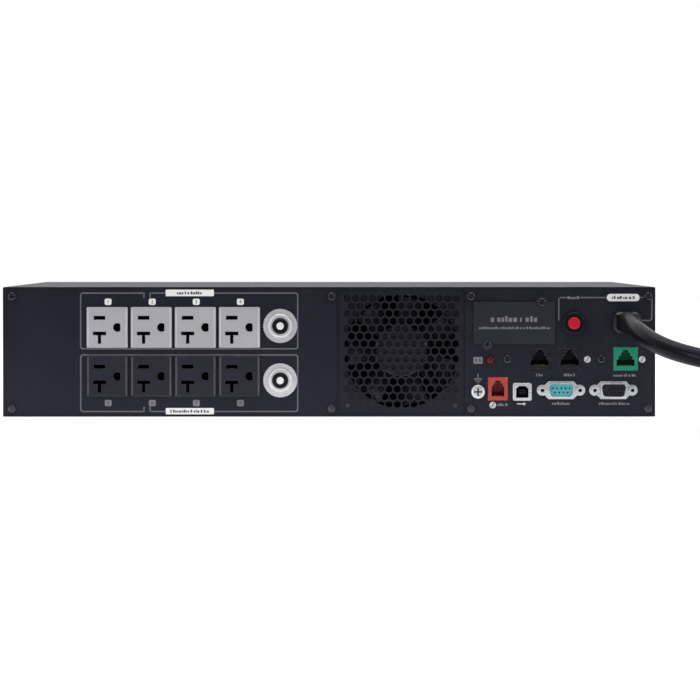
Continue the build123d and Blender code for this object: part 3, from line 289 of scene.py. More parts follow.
def build_materials():
    """Every finish by the record's slot name, and a few for the added pieces."""
    return {
        "black_steel": finish("black_steel", (0.0125, 0.0125, 0.0205), (0.0145, 0.0145, 0.0230), 0.46,
                              grain=1500, bump=0.3, depth=0.03, wear_and_edge_highlight=(0.08, 0.08, 0.095),
                              wear_and_edge_highlight_amount=0.35, specular=0.25, tint=(0.8, 0.8, 1.0)),
        "top_sheet": finish("top_sheet", (0.0125, 0.0125, 0.0205), (0.0145, 0.0145, 0.0230), 0.44,
                            spread=0.03, grain=1500, bump=0.2, depth=0.02,
                            wear_and_edge_highlight=(0.08, 0.08, 0.095), wear_and_edge_highlight_amount=0.35, specular=0.15,
                            tint=(0.85, 0.85, 1.0)),
        "cover_plate": finish("cover_plate", (0.020, 0.0205, 0.029), (0.0235, 0.024, 0.0330), 0.45,
                              grain=1400, bump=0.3, depth=0.03, wear_and_edge_highlight=(0.12, 0.12, 0.13),
                              specular=0.3, tint=(0.8, 0.8, 1.0)),
        "bare_steel": finish("bare_steel", (0.55, 0.56, 0.58), (0.62, 0.62, 0.64), 0.34, metallic=1.0,
                             brushed=(1, 30, 30), bump=0.2, wear_and_edge_highlight=(0.8, 0.8, 0.8)),
        "black_screw": finish("black_screw", (0.005, 0.005, 0.009), (0.007, 0.007, 0.012), 0.12,
                              spread=0.03, bump=0.03, round_mm=0.4, specular=1.0,
                              tint=(0.85, 0.85, 1.0)),
        "light_outlet": finish("light_outlet", (0.40, 0.40, 0.435), (0.435, 0.435, 0.47), 0.42,
                               grain=2200, bump=0.12, round_mm=0.4, wear_and_edge_highlight=(0.62, 0.62, 0.65),
                               wear_and_edge_highlight_amount=0.8),
        # the lower receptacles' paler edge colour is a painted highlight along their edges
        "dark_outlet": finish("dark_outlet", (0.0170, 0.0170, 0.0240), (0.0200, 0.0200, 0.0275), 0.40,
                              grain=2200, bump=0.12, round_mm=0.6, wear_and_edge_highlight=(0.16, 0.16, 0.19),
                              wear_and_edge_highlight_amount=1.0, specular=0.3, tint=(0.8, 0.8, 1.0)),
        "contact_brass": finish("contact_brass", (0.50, 0.34, 0.13), (0.42, 0.27, 0.10), 0.36,
                                metallic=1.0, brushed=(30, 1, 30)),
        # a near-black finish for contacts deep in slots and holes: painted shade
        "contact_painted_shade": finish("contact_painted_shade", (0.012, 0.009, 0.006), (0.018, 0.013, 0.008), 0.5,
                                metallic=0.6, specular=0.1),
        "breaker_black": finish("breaker_black", (0.006, 0.006, 0.009), (0.009, 0.009, 0.012), 0.3,
                                wear_and_edge_highlight=(0.05, 0.05, 0.06), specular=0.3, tint=(0.8, 0.8, 1.0)),
        "bright_nut": finish("bright_nut", (0.72, 0.72, 0.75), (0.82, 0.82, 0.85), 0.34, spread=0.06,
                             metallic=0.5, grain=2500, bump=0.08, round_mm=0.3,
                             wear_and_edge_highlight=(0.95, 0.95, 0.96), wear_and_edge_highlight_amount=0.8, patch=260.0),
        "white_button": finish("white_button", (0.85, 0.85, 0.86), (0.8, 0.8, 0.82), 0.3,
                               bump=0.05, wear_and_edge_highlight=(0.95, 0.95, 0.95)),
        "red_button": finish("red_button", (0.60, 0.010, 0.035), (0.5, 0.008, 0.026), 0.35,
                             bump=0.08, round_mm=0.8, wear_and_edge_highlight=(0.22, 0.012, 0.02), wear_and_edge_highlight_amount=1.0,
                             specular=0.3),
        # the three jack finishes' paler edge colour is a painted highlight on their rims and corners
        "jack_black": finish("jack_black", (0.010, 0.010, 0.015), (0.013, 0.013, 0.019), 0.38,
                             grain=2600, round_mm=0.6, wear_and_edge_highlight=(0.16, 0.16, 0.19), wear_and_edge_highlight_amount=1.0,
                             specular=0.3, tint=(0.8, 0.8, 1.0)),
        "jack_green": finish("jack_green", (0.010, 0.20, 0.11), (0.014, 0.24, 0.14), 0.35,
                             grain=2600, round_mm=0.7, wear_and_edge_highlight=(0.10, 0.48, 0.33), wear_and_edge_highlight_amount=1.0,
                             specular=0.3),
        "jack_red": finish("jack_red", (0.42, 0.055, 0.05), (0.48, 0.070, 0.062), 0.35,
                           grain=2600, round_mm=0.7, wear_and_edge_highlight=(0.82, 0.30, 0.27), wear_and_edge_highlight_amount=1.0,
                           specular=0.3),
        "teal_plastic": finish("teal_plastic", (0.06, 0.34, 0.38), (0.08, 0.40, 0.44), 0.4,
                               grain=2600, wear_and_edge_highlight=(0.35, 0.62, 0.66)),
        "nickel_shell": finish("nickel_shell", (0.74, 0.75, 0.79), (0.80, 0.81, 0.85), 0.3,
                               metallic=0.7, grain=2400, bump=0.08, wear_and_edge_highlight=(0.85, 0.85, 0.86),
                               wear_and_edge_highlight_amount=0.2),
        # black plastic for the battery terminal sleeves, also used for dark linings in the ports that
        # are painted shade
        "usb_black": finish("usb_black", (0.003, 0.003, 0.004), (0.005, 0.005, 0.006), 0.45,
                            specular=0.15),
        "led_red": finish("led_red", (0.06, 0.003, 0.006), (0.08, 0.005, 0.008), 0.18, spread=0.05,
                          wear_and_edge_highlight=(0.16, 0.02, 0.025), specular=0.4),
        "fan_plastic": finish("fan_plastic", (0.009, 0.009, 0.013), (0.012, 0.012, 0.017), 0.22,
                              spread=0.05, grain=1200, bump=0.05, wear_and_edge_highlight=(0.14, 0.14, 0.15),
                              specular=0.45, tint=(0.8, 0.8, 1.0)),
        "blade_gloss": finish("blade_gloss", (0.013, 0.013, 0.018), (0.017, 0.017, 0.023), 0.25,
                              spread=0.06, grain=1200, bump=0.05, specular=0.7,
                              tint=(0.85, 0.85, 1.0)),
        "board_green": finish("board_green", (0.012, 0.10, 0.045), (0.018, 0.13, 0.06), 0.35,
                              grain=300, bump=0.1),
        "core_steel": finish("core_steel", (0.10, 0.085, 0.07), (0.14, 0.12, 0.10), 0.5,
                             brushed=(1, 1, 40), bump=0.5, depth=0.2),
        "sink_aluminium": finish("sink_aluminium", (0.62, 0.62, 0.64), (0.68, 0.68, 0.7), 0.38,
                                 metallic=1.0, brushed=(30, 1, 30)),
        "sleeve_plastic": finish("sleeve_plastic", (0.012, 0.02, 0.09), (0.02, 0.03, 0.12), 0.3,
                                 coat=0.3),
        "battery_case": finish("battery_case", (0.035, 0.035, 0.04), (0.045, 0.045, 0.05), 0.5,
                               grain=700, bump=0.3, wear_and_edge_highlight=(0.12, 0.12, 0.12)),
        "bezel_plastic": finish("bezel_plastic", (0.020, 0.020, 0.024), (0.026, 0.026, 0.03), 0.48,
                                grain=1300, bump=0.5, depth=0.06, wear_and_edge_highlight=(0.08, 0.08, 0.09),
                                round_mm=0.5),
        "display_glass": finish("display_glass", (0.008, 0.010, 0.014), (0.012, 0.014, 0.018), 0.08,
                                spread=0.04, bump=0.02, coat=0.6),
        "button_grey": finish("button_grey", (0.10, 0.10, 0.11), (0.12, 0.12, 0.13), 0.42,
                              grain=1800, wear_and_edge_highlight=(0.3, 0.3, 0.32)),
        "cord_rubber": finish("cord_rubber", (0.0035, 0.0035, 0.0055), (0.005, 0.005, 0.0075), 0.30,
                              spread=0.04, grain=700, bump=0.06, depth=0.02, specular=0.15,
                              tint=(0.8, 0.8, 1.0)),
        # the gland's paler edge colour is a painted highlight on its chamfers
        "gland_black": finish("gland_black", (0.004, 0.004, 0.006), (0.006, 0.006, 0.008), 0.18,
                              spread=0.04, bump=0.05, round_mm=0.8, wear_and_edge_highlight=(0.20, 0.20, 0.25),
                              wear_and_edge_highlight_amount=0.9, specular=0.4),
        # thin pale strips along the receptacles' side edges: painted highlights
        "highlight_on_light_outlet": finish("highlight_on_light_outlet", (0.52, 0.52, 0.56), (0.58, 0.58, 0.62), 0.4, grain=2200),
        "highlight_on_dark_outlet": finish("highlight_on_dark_outlet", (0.055, 0.055, 0.068), (0.070, 0.070, 0.085), 0.4, grain=2200),
        "blade_metal": finish("blade_metal", (0.74, 0.62, 0.4), (0.8, 0.7, 0.5), 0.22, metallic=1.0,
                              brushed=(30, 1, 30), wear_and_edge_highlight=(0.9, 0.85, 0.7)),
        "ink_grey": finish("ink_grey", (0.115, 0.115, 0.135), (0.135, 0.135, 0.155), 0.5, grain=3000),
        "ink_white": finish("ink_white", (0.52, 0.52, 0.55), (0.6, 0.6, 0.62), 0.5, grain=3000),
        # a dim grey for print, also laid in the ground screw's cross recess as painted shade
        "dim_ink_and_recess_shade": finish("dim_ink_and_recess_shade", (0.17, 0.17, 0.19), (0.21, 0.21, 0.23), 0.5, grain=3000),
        "ink_dark": finish("ink_dark", (0.05, 0.05, 0.06), (0.07, 0.07, 0.08), 0.5, grain=3000),
        "label_white": finish("label_white", (0.86, 0.86, 0.87), (0.92, 0.92, 0.92), 0.45,
                              grain=2500),
        "lcd_glow": finish("lcd_glow", (0.10, 0.16, 0.20), (0.12, 0.19, 0.24), 0.2, spread=0.05,
                           grain=2000, bump=0.02),
        "lamp_green": finish("lamp_green", (0.05, 0.5, 0.14), (0.07, 0.6, 0.2), 0.25, spread=0.05,
                             coat=0.4),
        "floor": glowing(finish("floor", (0.74, 0.74, 0.74), (0.77, 0.77, 0.77), 0.7, grain=60,
                                bump=0.02, patch=0.6), 0.6),
    }


# the outlet contacts take a near-black finish: painted shade in the receptacles' slots
OWN_FINISH = {"top_cover": "top_sheet", "outlet_contacts": "contact_painted_shade",
              "cord_gland": "gland_black", "fan_rotor": "blade_gloss"}


def dress_frame():
    """Give every CAD node the finish of its own slot, or its own where it looks different."""
    for entry in frame["record"]["subparts"]:
        name = entry["node"]
        data = frame["nodes"][name].data
        data.materials.clear()
        data.materials.append(MATERIALS[OWN_FINISH.get(name, entry["material_slot"])])


# ---------------------------------------------------------------- mains lead
CORD_D = 12.5
COIL_CENTRE = (369.5, -252.3)
COIL_MEAN_R = 70.0
COIL_PITCH = 12.8
COIL_TURN_IN = -68.3
COIL_POINTS = 18
COIL_LAST = -10.0
STEP_SHARE = 1 / 6
SHRINK = 0.988            # how far inside its control points the spline runs on the coil

LEAD_IN = [(197.6, -270.5, 62.5), (198.6, -294.0, 60.0), (207.0, -318.0, 52.0),
           (224.0, -338.0, 44.5), (247.0, -352.0, 39.5), (273.0, -360.0, 33.5),
           (300.0, -363.0, 24.5), (327.0, -359.0, 15.5), (354.0, -350.5, 9.5),
           (379.0, -339.5, 6.6)]
TAIL = [(454.6, -244.0, 18.0), (456.6, -223.0, 16.4), (457.0, -202.5, 15.0),
        (457.0, -182.0, 14.0)]


def step_count(turn):
    """How many places the winding has moved over: it moves in the last part of each turn."""
    whole = math.floor(turn)
    along = max(0.0, (turn - whole - (1 - STEP_SHARE)) / STEP_SHARE)
    return whole + along * along * (3 - 2 * along)


def coil_point(turn):
    """A point of the coil: three turns inwards on the floor, three outwards on top of them."""
    low_z, high_z = CORD_D / 2 + 0.1, CORD_D * 1.5 + 0.15
    if turn < 3:
        places = min(step_count(turn), 2.0)
        z = low_z + (high_z - low_z) * max(0.0, step_count(turn) - 2.0)
    else:
        places = 2.0 - min(step_count(turn - 3.0), 2.0)
        z = high_z
    radius = (COIL_MEAN_R + (1.0 - places) * COIL_PITCH) / SHRINK
    angle = math.radians(COIL_TURN_IN + 360.0 * turn)
    return (COIL_CENTRE[0] + radius * math.cos(angle), COIL_CENTRE[1] + radius * math.sin(angle), z)


def cord_route():
    """The whole route: out of the relief, down to the floor, round the coil, into the plug."""
    last_turn = 6.0 + (COIL_LAST - COIL_TURN_IN) / 360.0
    count = math.ceil(last_turn * COIL_POINTS)
    turns = [last_turn * i / count for i in range(count + 1)]
    return LEAD_IN + [coil_point(turn) for turn in turns] + TAIL


def make_cord():
    """The lead as one smooth spline with a round section."""
    data = bpy.data.curves.new("mains_lead", "CURVE")
    data.dimensions = "3D"
    data.bevel_depth = CORD_D / 2 * MM
    data.bevel_resolution = 8
    data.resolution_u = 8
    data.use_fill_caps = True
    route = cord_route()
    spline = data.splines.new("NURBS")
    spline.points.add(len(route) - 1)
    for point, place in zip(spline.points, route):
        point.co = (place[0] * MM, place[1] * MM, place[2] * MM, 1.0)
    spline.order_u = 3
    spline.use_endpoint_u = True
    data.materials.append(MATERIALS["cord_rubber"])
    cord = bpy.data.objects.new("mains_lead", data)
    scene.collection.objects.link(cord)
    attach(cord, BODY)
    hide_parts("power_cord", "power_cord_coil")
    return cord


MATERIALS = build_materials()
make_camera()
dress_frame()
lead = make_cord()


# ---------------------------------------------------------------- floor and light
FLOOR_HALF_W = 4.0
FLOOR_END = -0.42         # its edge on the photographed side
FLOOR_FAR = 6.0


def make_floor():
    """A plain pale floor under the unit, which ends a little way behind it."""
    bm = bmesh.new()
    corners = ((-FLOOR_HALF_W, FLOOR_END), (FLOOR_HALF_W, FLOOR_END),
               (FLOOR_HALF_W, FLOOR_FAR), (-FLOOR_HALF_W, FLOOR_FAR))
    bm.faces.new([bm.verts.new((x, y, 0.0)) for x, y in corners])
    data = bpy.data.meshes.new("floor")
    bm.to_mesh(data)
    bm.free()
    data.materials.append(MATERIALS["floor"])
    floor = bpy.data.objects.new("floor", data)
    floor.location.z = -0.0002
    scene.collection.objects.link(floor)


def area_light(name, place, aim, size, power):
    """A soft box pointed at a place."""
    data = bpy.data.lights.new(name, "AREA")
    data.shape = "RECTANGLE"
    data.size, data.size_y = size
    data.energy = power
    light = bpy.data.objects.new(name, data)
    light.location = place
    light.rotation_euler = (Vector(aim) - Vector(place)).to_track_quat("-Z", "Y").to_euler()
    scene.collection.objects.link(light)


def make_surround():
    """A surround that is white to the eye, and lights the unit from its far side and above."""
    world = bpy.data.worlds.new("surround")
    world.use_nodes = True
    tree = world.node_tree
    axes = tree.nodes.new("ShaderNodeSeparateXYZ")
    tree.links.new(tree.nodes.new("ShaderNodeTexCoord").outputs["Generated"], axes.inputs[0])
    shade = tree.nodes.new("ShaderNodeMapRange")
    shade.inputs["From Min"].default_value = -0.25
    shade.inputs["From Max"].default_value = 0.35
    shade.inputs["To Min"].default_value = 0.12
    shade.inputs["To Max"].default_value = 1.0
    tree.links.new(axes.outputs["Y"], shade.inputs["Value"])
    seen = tree.nodes.new("ShaderNodeMix")
    seen.inputs["B"].default_value = 1.0
    rays = tree.nodes.new("ShaderNodeLightPath")
    tree.links.new(rays.outputs["Is Camera Ray"], seen.inputs["Factor"])
    tree.links.new(shade.outputs["Result"], seen.inputs["A"])
    background = tree.nodes["Background"]
    background.inputs["Color"].default_value = (1.0, 1.0, 1.0, 1.0)
    tree.links.new(seen.outputs["Result"], background.inputs["Strength"])
    scene.world = world
    scene.view_settings.view_transform = "Standard"


def make_light():
    """Soft boxes above and to both sides."""
    centre = (0.0, 0.0, 0.05)
    area_light("top_light", (0.0, -0.4, 2.2), centre, (2.4, 2.4), 34.0)
    area_light("left_light", (-1.9, -1.9, 0.8), centre, (0.6, 1.6), 16.0)
    area_light("right_light", (1.9, -1.9, 0.8), centre, (0.6, 1.6), 16.0)


# ---------------------------------------------------------------- print on the rear panels
def arc_strip(cx, cz, radius, start, end, width, steps=6):
    """A quarter of a ring, as an outline."""
    angles = [math.radians(start + (end - start) * i / steps) for i in range(steps + 1)]
    outer = [(cx + (radius + width / 2) * math.cos(a), cz + (radius + width / 2) * math.sin(a))
             for a in angles]
    inner = [(cx + (radius - width / 2) * math.cos(a), cz + (radius - width / 2) * math.sin(a))
             for a in reversed(angles)]
    return outer + inner


def ruled_frame(x0, x1, z0, z1, width, radius, gap, gap_on_top, tick):
    """A printed frame with round corners and a ticked gap in its top or bottom line."""
    half = width / 2
    lines = [bar(x0 - half, x0 + half, z0 + radius, z1 - radius),
             bar(x1 - half, x1 + half, z0 + radius, z1 - radius)]
    for z, broken in ((z1, gap_on_top), (z0, not gap_on_top)):
        ends = (x0 + radius, x1 - radius)
        if broken:
            lines.append(bar(ends[0], gap[0], z - half, z + half))
            lines.append(bar(gap[1], ends[1], z - half, z + half))
            inward = -tick if gap_on_top else tick
            for x in gap:
                low, high = sorted((z - math.copysign(half, inward), z + inward))
                lines.append(bar(x - half, x + half, low, high))
        else:
            lines.append(bar(ends[0], ends[1], z - half, z + half))
    corners = ((x0, z0, 1, 1, 180), (x1, z0, -1, 1, 270), (x1, z1, -1, -1, 0), (x0, z1, 1, -1, 90))
    for x, z, sx, sz, start in corners:
        lines.append(arc_strip(x + sx * radius, z + sz * radius, radius, start, start + 90, width))
    return lines


def digit_piece(name, digit, x, z, height, material):
    """A printed number, cut from the built-in font."""
    text = bpy.data.curves.new(name, "FONT")
    text.body = str(digit)
    text.size = height * 1.35 * MM
    text.align_x = "CENTER"
    text.align_y = "CENTER"
    text.extrude = 0.02 * MM
    maker = bpy.data.objects.new(name + "_text", text)
    data = bpy.data.meshes.new_from_object(maker)
    bpy.data.objects.remove(maker)
    turn = Matrix.Rotation(math.radians(90), 4, "X")
    data.transform(Matrix.Translation((x * MM, REAR_Y - 0.07 * MM, z * MM)) @ turn)
    data.materials.clear()
    data.materials.append(material)
    piece = bpy.data.objects.new(name, data)
    scene.collection.objects.link(piece)
    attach(piece, BODY)


FRAME_X = (-164.9, -20.9)
FRAME_GAP = (-122.9, -118.9)
LABEL_X = -92.5
# where the painted highlight strips lie: their inset from each receptacle's side edge and their
# width, in millimetres
HIGHLIGHT_INSET = 0.36
HIGHLIGHT_W = 1.2


def outlet_print():
    """Frames, name plates and numbers round the receptacles."""
    lines = ruled_frame(*FRAME_X, 45.0, 82.0, 0.9, 1.6, FRAME_GAP, True, 3.2)
    lines += ruled_frame(*FRAME_X, 3.4, 40.9, 0.9, 1.6, FRAME_GAP, False, 3.2)
    printed("receptacle_frames", lines, MATERIALS["ink_grey"])
    plates = [rounded(LABEL_X, 82.1, 32.0, 4.4, 0.5), rounded(LABEL_X, 3.6, 32.0, 4.2, 0.5)]
    printed("name_plates", plates, MATERIALS["label_white"], thickness=0.09)
    bars = words(LABEL_X, 82.1, 17.0, 1.9, 3) + words(LABEL_X, 3.6, 26.0, 1.9, 4)
    printed("name_plate_bars", bars, MATERIALS["ink_dark"], thickness=0.12)
    for row, z, finish_key in (("upper", 76.2, "label_white"), ("lower", 9.0, "dim_ink_and_recess_shade")):
        plates = []
        for number in range(1, 5):
            x = middle(f"outlet_{row}_{number}").x / MM
            plates.append(rounded(x + 0.6, z, 4.6, 4.2, 1.1))
            digit = number if row == "upper" else number + 4
            digit_piece(f"number_{digit}", digit, x + 0.6, z, 2.6, MATERIALS["ink_dark"])
        printed(f"number_plates_{row}", plates, MATERIALS[finish_key])


def outlet_rims():
    """A thin pale strip down both sides of every receptacle's face: a painted highlight along its
    side edges.
    """
    for row, finish_key in (("upper", "highlight_on_light_outlet"), ("lower", "highlight_on_dark_outlet")):
        strips = []
        for number in range(1, 5):
            low, high = (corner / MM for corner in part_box(f"outlet_{row}_{number}"))
            for edge, inward in ((low.x, 1), (high.x, -1)):
                start = edge + inward * HIGHLIGHT_INSET
                x0, x1 = sorted((start, start + inward * HIGHLIGHT_W))
                strips.append(bar(x0, x1, low.z + 0.8, high.z - 0.8))
        face_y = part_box(f"outlet_{row}_1")[0].y
        printed(f"outlet_rims_{row}", strips, MATERIALS[finish_key], y=face_y, thickness=0.12)


def at(node):
    """A node's middle across the rear face, in millimetres."""
    place = middle(node)
    return place.x / MM, place.z / MM


def io_print():
    """Captions, marks and the input frame on the signal side, with bars instead of letters."""
    light, dim = MATERIALS["ink_white"], MATERIALS["dim_ink_and_recess_shade"]
    cx, cz = at("expansion_cover")
    cover_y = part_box("expansion_cover")[0].y
    lines = words(cx - 5.4, 64.8, 20.5, 4.0, 11) + words(cx + 11.9, 64.8, 9.0, 4.0, 12)
    printed("expansion_caption", lines, dim, y=cover_y)
    printed("expansion_note", words(cx, 58.9, 47.0, 1.7, 13), dim, y=cover_y)

    width = 0.9
    half = width / 2
    left, right, top, low, radius = 152.4, 214.2, 79.0, 63.8, 1.6
    reset_gap = (157.6, 166.4)
    plate = (184.3, 206.0)
    frame_lines = [bar(left - half, left + half, low, top - radius),
                   bar(left + radius, reset_gap[0], top - half, top + half),
                   bar(reset_gap[1], plate[0], top - half, top + half),
                   bar(plate[1], 208.6, top - half, top + half),
                   bar(right - half, right + half, low + radius, top),
                   bar(207.4, right - radius, low - half, low + half),
                   arc_strip(left + radius, top - radius, radius, 90, 180, width),
                   arc_strip(right - radius, low + radius, radius, 270, 360, width)]
    printed("input_frame", frame_lines, MATERIALS["ink_grey"])
    printed("input_plate", [rounded((plate[0] + plate[1]) / 2, top, 21.7, 4.9, 2.3)],
            MATERIALS["label_white"], thickness=0.09)
    printed("input_plate_bars", words((plate[0] + plate[1]) / 2, top, 15.0, 2.0, 21),
            MATERIALS["ink_dark"], thickness=0.12)
    printed("reset_caption", words(sum(reset_gap) / 2, top, 7.8, 1.9, 22), dim)

    captions = []
    for x, z, width, height, seed in ((139.6, 27.6, 4.4, 1.8, 31), (159.5, 27.6, 7.6, 1.8, 32),
                                      (196.4, 27.4, 15.4, 1.8, 33), (153.8, 8.7, 11.8, 1.9, 34),
                                      (189.1, 8.7, 20.4, 1.9, 35), (115.2, 7.9, 7.0, 2.0, 36)):
        captions += words(x, z, width, height, seed)
    printed("port_captions", captions, dim)

    # a round network mark: a disc with two slanting dark bars, used three times
    discs, slashes = [], []
    for x, z in ((171.4, 37.9), (207.8, 37.9), (108.6, 7.6)):
        discs.append(disc(x, z, 2.2))
        slashes.append([(x - 1.2, z - 1.5), (x - 0.5, z - 1.5), (x + 1.2, z + 1.5),
                        (x + 0.5, z + 1.5)])
    printed("network_marks", discs, light)
    printed("network_mark_bars", slashes, MATERIALS["ink_dark"], thickness=0.08)

    # the computer port's mark is a plain arrow, and the lamp's a socket outline with a slot
    arrow = [(124.6, 8.0), (129.0, 8.0), (129.0, 7.1), (130.8, 8.4), (129.0, 9.7), (129.0, 8.8),
             (124.6, 8.8)]
    printed("computer_mark", [arrow], light)
    printed("lamp_mark", [rounded(98.8, 37.3, 6.2, 4.6, 0.9)], dim)
    printed("lamp_mark_bars", [bar(97.0, 98.0, 36.2, 38.4), bar(99.6, 100.6, 36.2, 38.4)],
            MATERIALS["ink_dark"], thickness=0.08)

    # protective earth mark over the ground screw
    x = middle("ground_screw").x / MM
    earth = [bar(x - 0.35, x + 0.35, 25.2, 28.4), bar(x - 2.6, x + 2.6, 24.6, 25.3),
             bar(x - 1.8, x + 1.8, 23.3, 23.9), bar(x - 0.9, x + 0.9, 22.1, 22.6)]
    printed("earth_mark", earth, dim)
    # a dark cross at the bottom of the ground screw's cross recess: painted shade in the recess
    x, z = at("ground_screw")
    arm, half_arm = 2.75, 0.62
    recess = [bar(x - arm, x + arm, z - half_arm, z + half_arm),
              bar(x - half_arm, x + half_arm, z - arm, z + arm)]
    printed("ground_screw_recess_shade", recess, MATERIALS["dim_ink_and_recess_shade"],
            y=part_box("ground_screw")[0].y + 1.38 * MM)


# ---------------------------------------------------------------- contacts in the ports, and painted shade in them
JACKSCREW_SPACING = 24.99
PIN_PITCH = 2.77
PIN_ROW = 1.42            # each row's distance from the connector's middle
MODULAR_PITCH = 1.05


def box_between(bm, start, end, width, height):
    """A square bar from one point to another in the YZ plane, in metres."""
    start, end = Vector(start), Vector(end)
    along = (end - start).normalized()
    side = Vector((1, 0, 0))
    up = side.cross(along)
    corners = []
    for place in (start, end):
        corners.append([bm.verts.new(place + side * sx * width / 2 + up * sz * height / 2)
                        for sx, sz in ((-1, -1), (1, -1), (1, 1), (-1, 1))])
    near, far = corners
    bm.faces.new(near)
    bm.faces.new(list(reversed(far)))
    for i in range(4):
        j = (i + 1) % 4
        bm.faces.new((near[i], far[i], far[j], near[j]))


def jack_contacts(node, count, pitch, floor_drop):
    """Sprung gold wires on the floor of a modular jack, rising towards its back."""
    centre = middle(node)
    bm = bmesh.new()
    for i in range(count):
        x = centre.x + (i - (count - 1) / 2) * pitch * MM
        z = centre.z - floor_drop * MM
        box_between(bm, (x, REAR_Y + 0.6 * MM, z + 0.25 * MM), (x, REAR_Y + 3.0 * MM, z + 0.25 * MM),
                    0.42 * MM, 0.3 * MM)
        box_between(bm, (x, REAR_Y + 3.0 * MM, z + 0.25 * MM), (x, REAR_Y + 10.5 * MM, z + 2.6 * MM),
                    0.42 * MM, 0.3 * MM)
    mesh_object(f"{node}_contacts", bm, MATERIALS["contact_brass"])


def tube_at(bm, x, z, outer, inner, y_low, y_high, steps=16):
    """A short tube along Y, in millimetres across and metres along."""
    rings = []
    for radius, y in ((outer, y_low), (outer, y_high), (inner, y_high), (inner, y_low)):
        rings.append([bm.verts.new(((x + radius * math.cos(2 * math.pi * i / steps)) * MM, y,
                                    (z + radius * math.sin(2 * math.pi * i / steps)) * MM))
                      for i in range(steps)])
    for a, b in zip(rings, rings[1:] + rings[:1]):
        for i in range(steps):
            j = (i + 1) % steps
            bm.faces.new((a[i], a[j], b[j], b[i]))


def socket_outline(cx, cz, width, height, cut, steps=5):
    """A type-B socket's outline: its upper corners are cut off, and its lower ones barely round."""
    right, top = width / 2, height / 2
    small = 0.35
    points = []
    for sx, forwards in ((1, True), (-1, False)):
        for i in range(steps + 1):
            t = i / steps if forwards else 1 - i / steps
            points.append((cx + sx * (right - cut * t), cz + top - cut * (1 - t)))
    for sx, first in ((-1, 180), (1, 270)):
        for i in range(steps + 1):
            angle = math.radians(first + 90 * i / steps)
            points.append((cx + sx * (right - small) + small * math.cos(angle),
                           cz - top + small + small * math.sin(angle)))
    return points


def hollow_prism(bm, outer, inner, y_low, y_high):
    """A sleeve along Y between two outlines with the same number of points, in millimetres."""
    rings = [[bm.verts.new((x * MM, y, z * MM)) for x, z in outline]
             for outline, y in ((outer, y_low), (outer, y_high), (inner, y_high), (inner, y_low))]
    for a, b in zip(rings, rings[1:] + rings[:1]):
        for i in range(len(outer)):
            j = (i + 1) % len(outer)
            bm.faces.new((a[i], a[j], b[j], b[i]))


def jackscrew_places():
    """The jackscrews' places, from the two inserts they stand beside."""
    for node in ("serial_insert", "contact_insert"):
        x, z = at(node)
        for side in (-1, 1):
            yield x + side * JACKSCREW_SPACING / 2, z


def type_b_port():
    """The type-B port's plated shell, with its socket's cut corners at the top, and a black sleeve
    and floor inside the socket as painted shade.
    """
    low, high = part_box("usb_shell")
    x, z = at("usb_shell")
    width, height = (high.x - low.x) / MM, (high.z - low.z) / MM
    steps = 5
    corner, bevel, depth = 1.2, 0.3, 10.5
    outer = rounded(x, z, width, height, corner, steps)
    front = rounded(x, z, width - 2 * bevel, height - 2 * bevel, corner - bevel, steps)
    socket = socket_outline(x, z, 8.2, 7.8, 1.9, steps)
    bm = bmesh.new()
    rings = [[bm.verts.new((px * MM, y, pz * MM)) for px, pz in outline]
             for outline, y in ((outer, high.y), (outer, low.y + bevel * MM), (front, low.y),
                                (socket, low.y), (socket, low.y + depth * MM))]
    for a, b in zip(rings, rings[1:]):
        for i in range(len(outer)):
            j = (i + 1) % len(outer)
            bm.faces.new((a[i], a[j], b[j], b[i]))
    bm.faces.new(rings[0])
    bm.faces.new(rings[-1])
    shell = mesh_object("type_b_shell", bm, MATERIALS["nickel_shell"])
    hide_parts("usb_shell")
    # a black sleeve over the socket's metal walls and a plate at its bottom: painted shade in the
    # socket
    bm = bmesh.new()
    hollow_prism(bm, socket_outline(x, z, 8.1, 7.7, 1.87), socket_outline(x, z, 7.5, 7.1, 1.7),
                 low.y + 0.25 * MM, low.y + 10.0 * MM)
    prism(bm, socket_outline(x, z, 7.5, 7.1, 1.7), low.y + 9.6 * MM, low.y + 9.9 * MM)
    mesh_object("usb_painted_shade_lining", bm, MATERIALS["usb_black"])


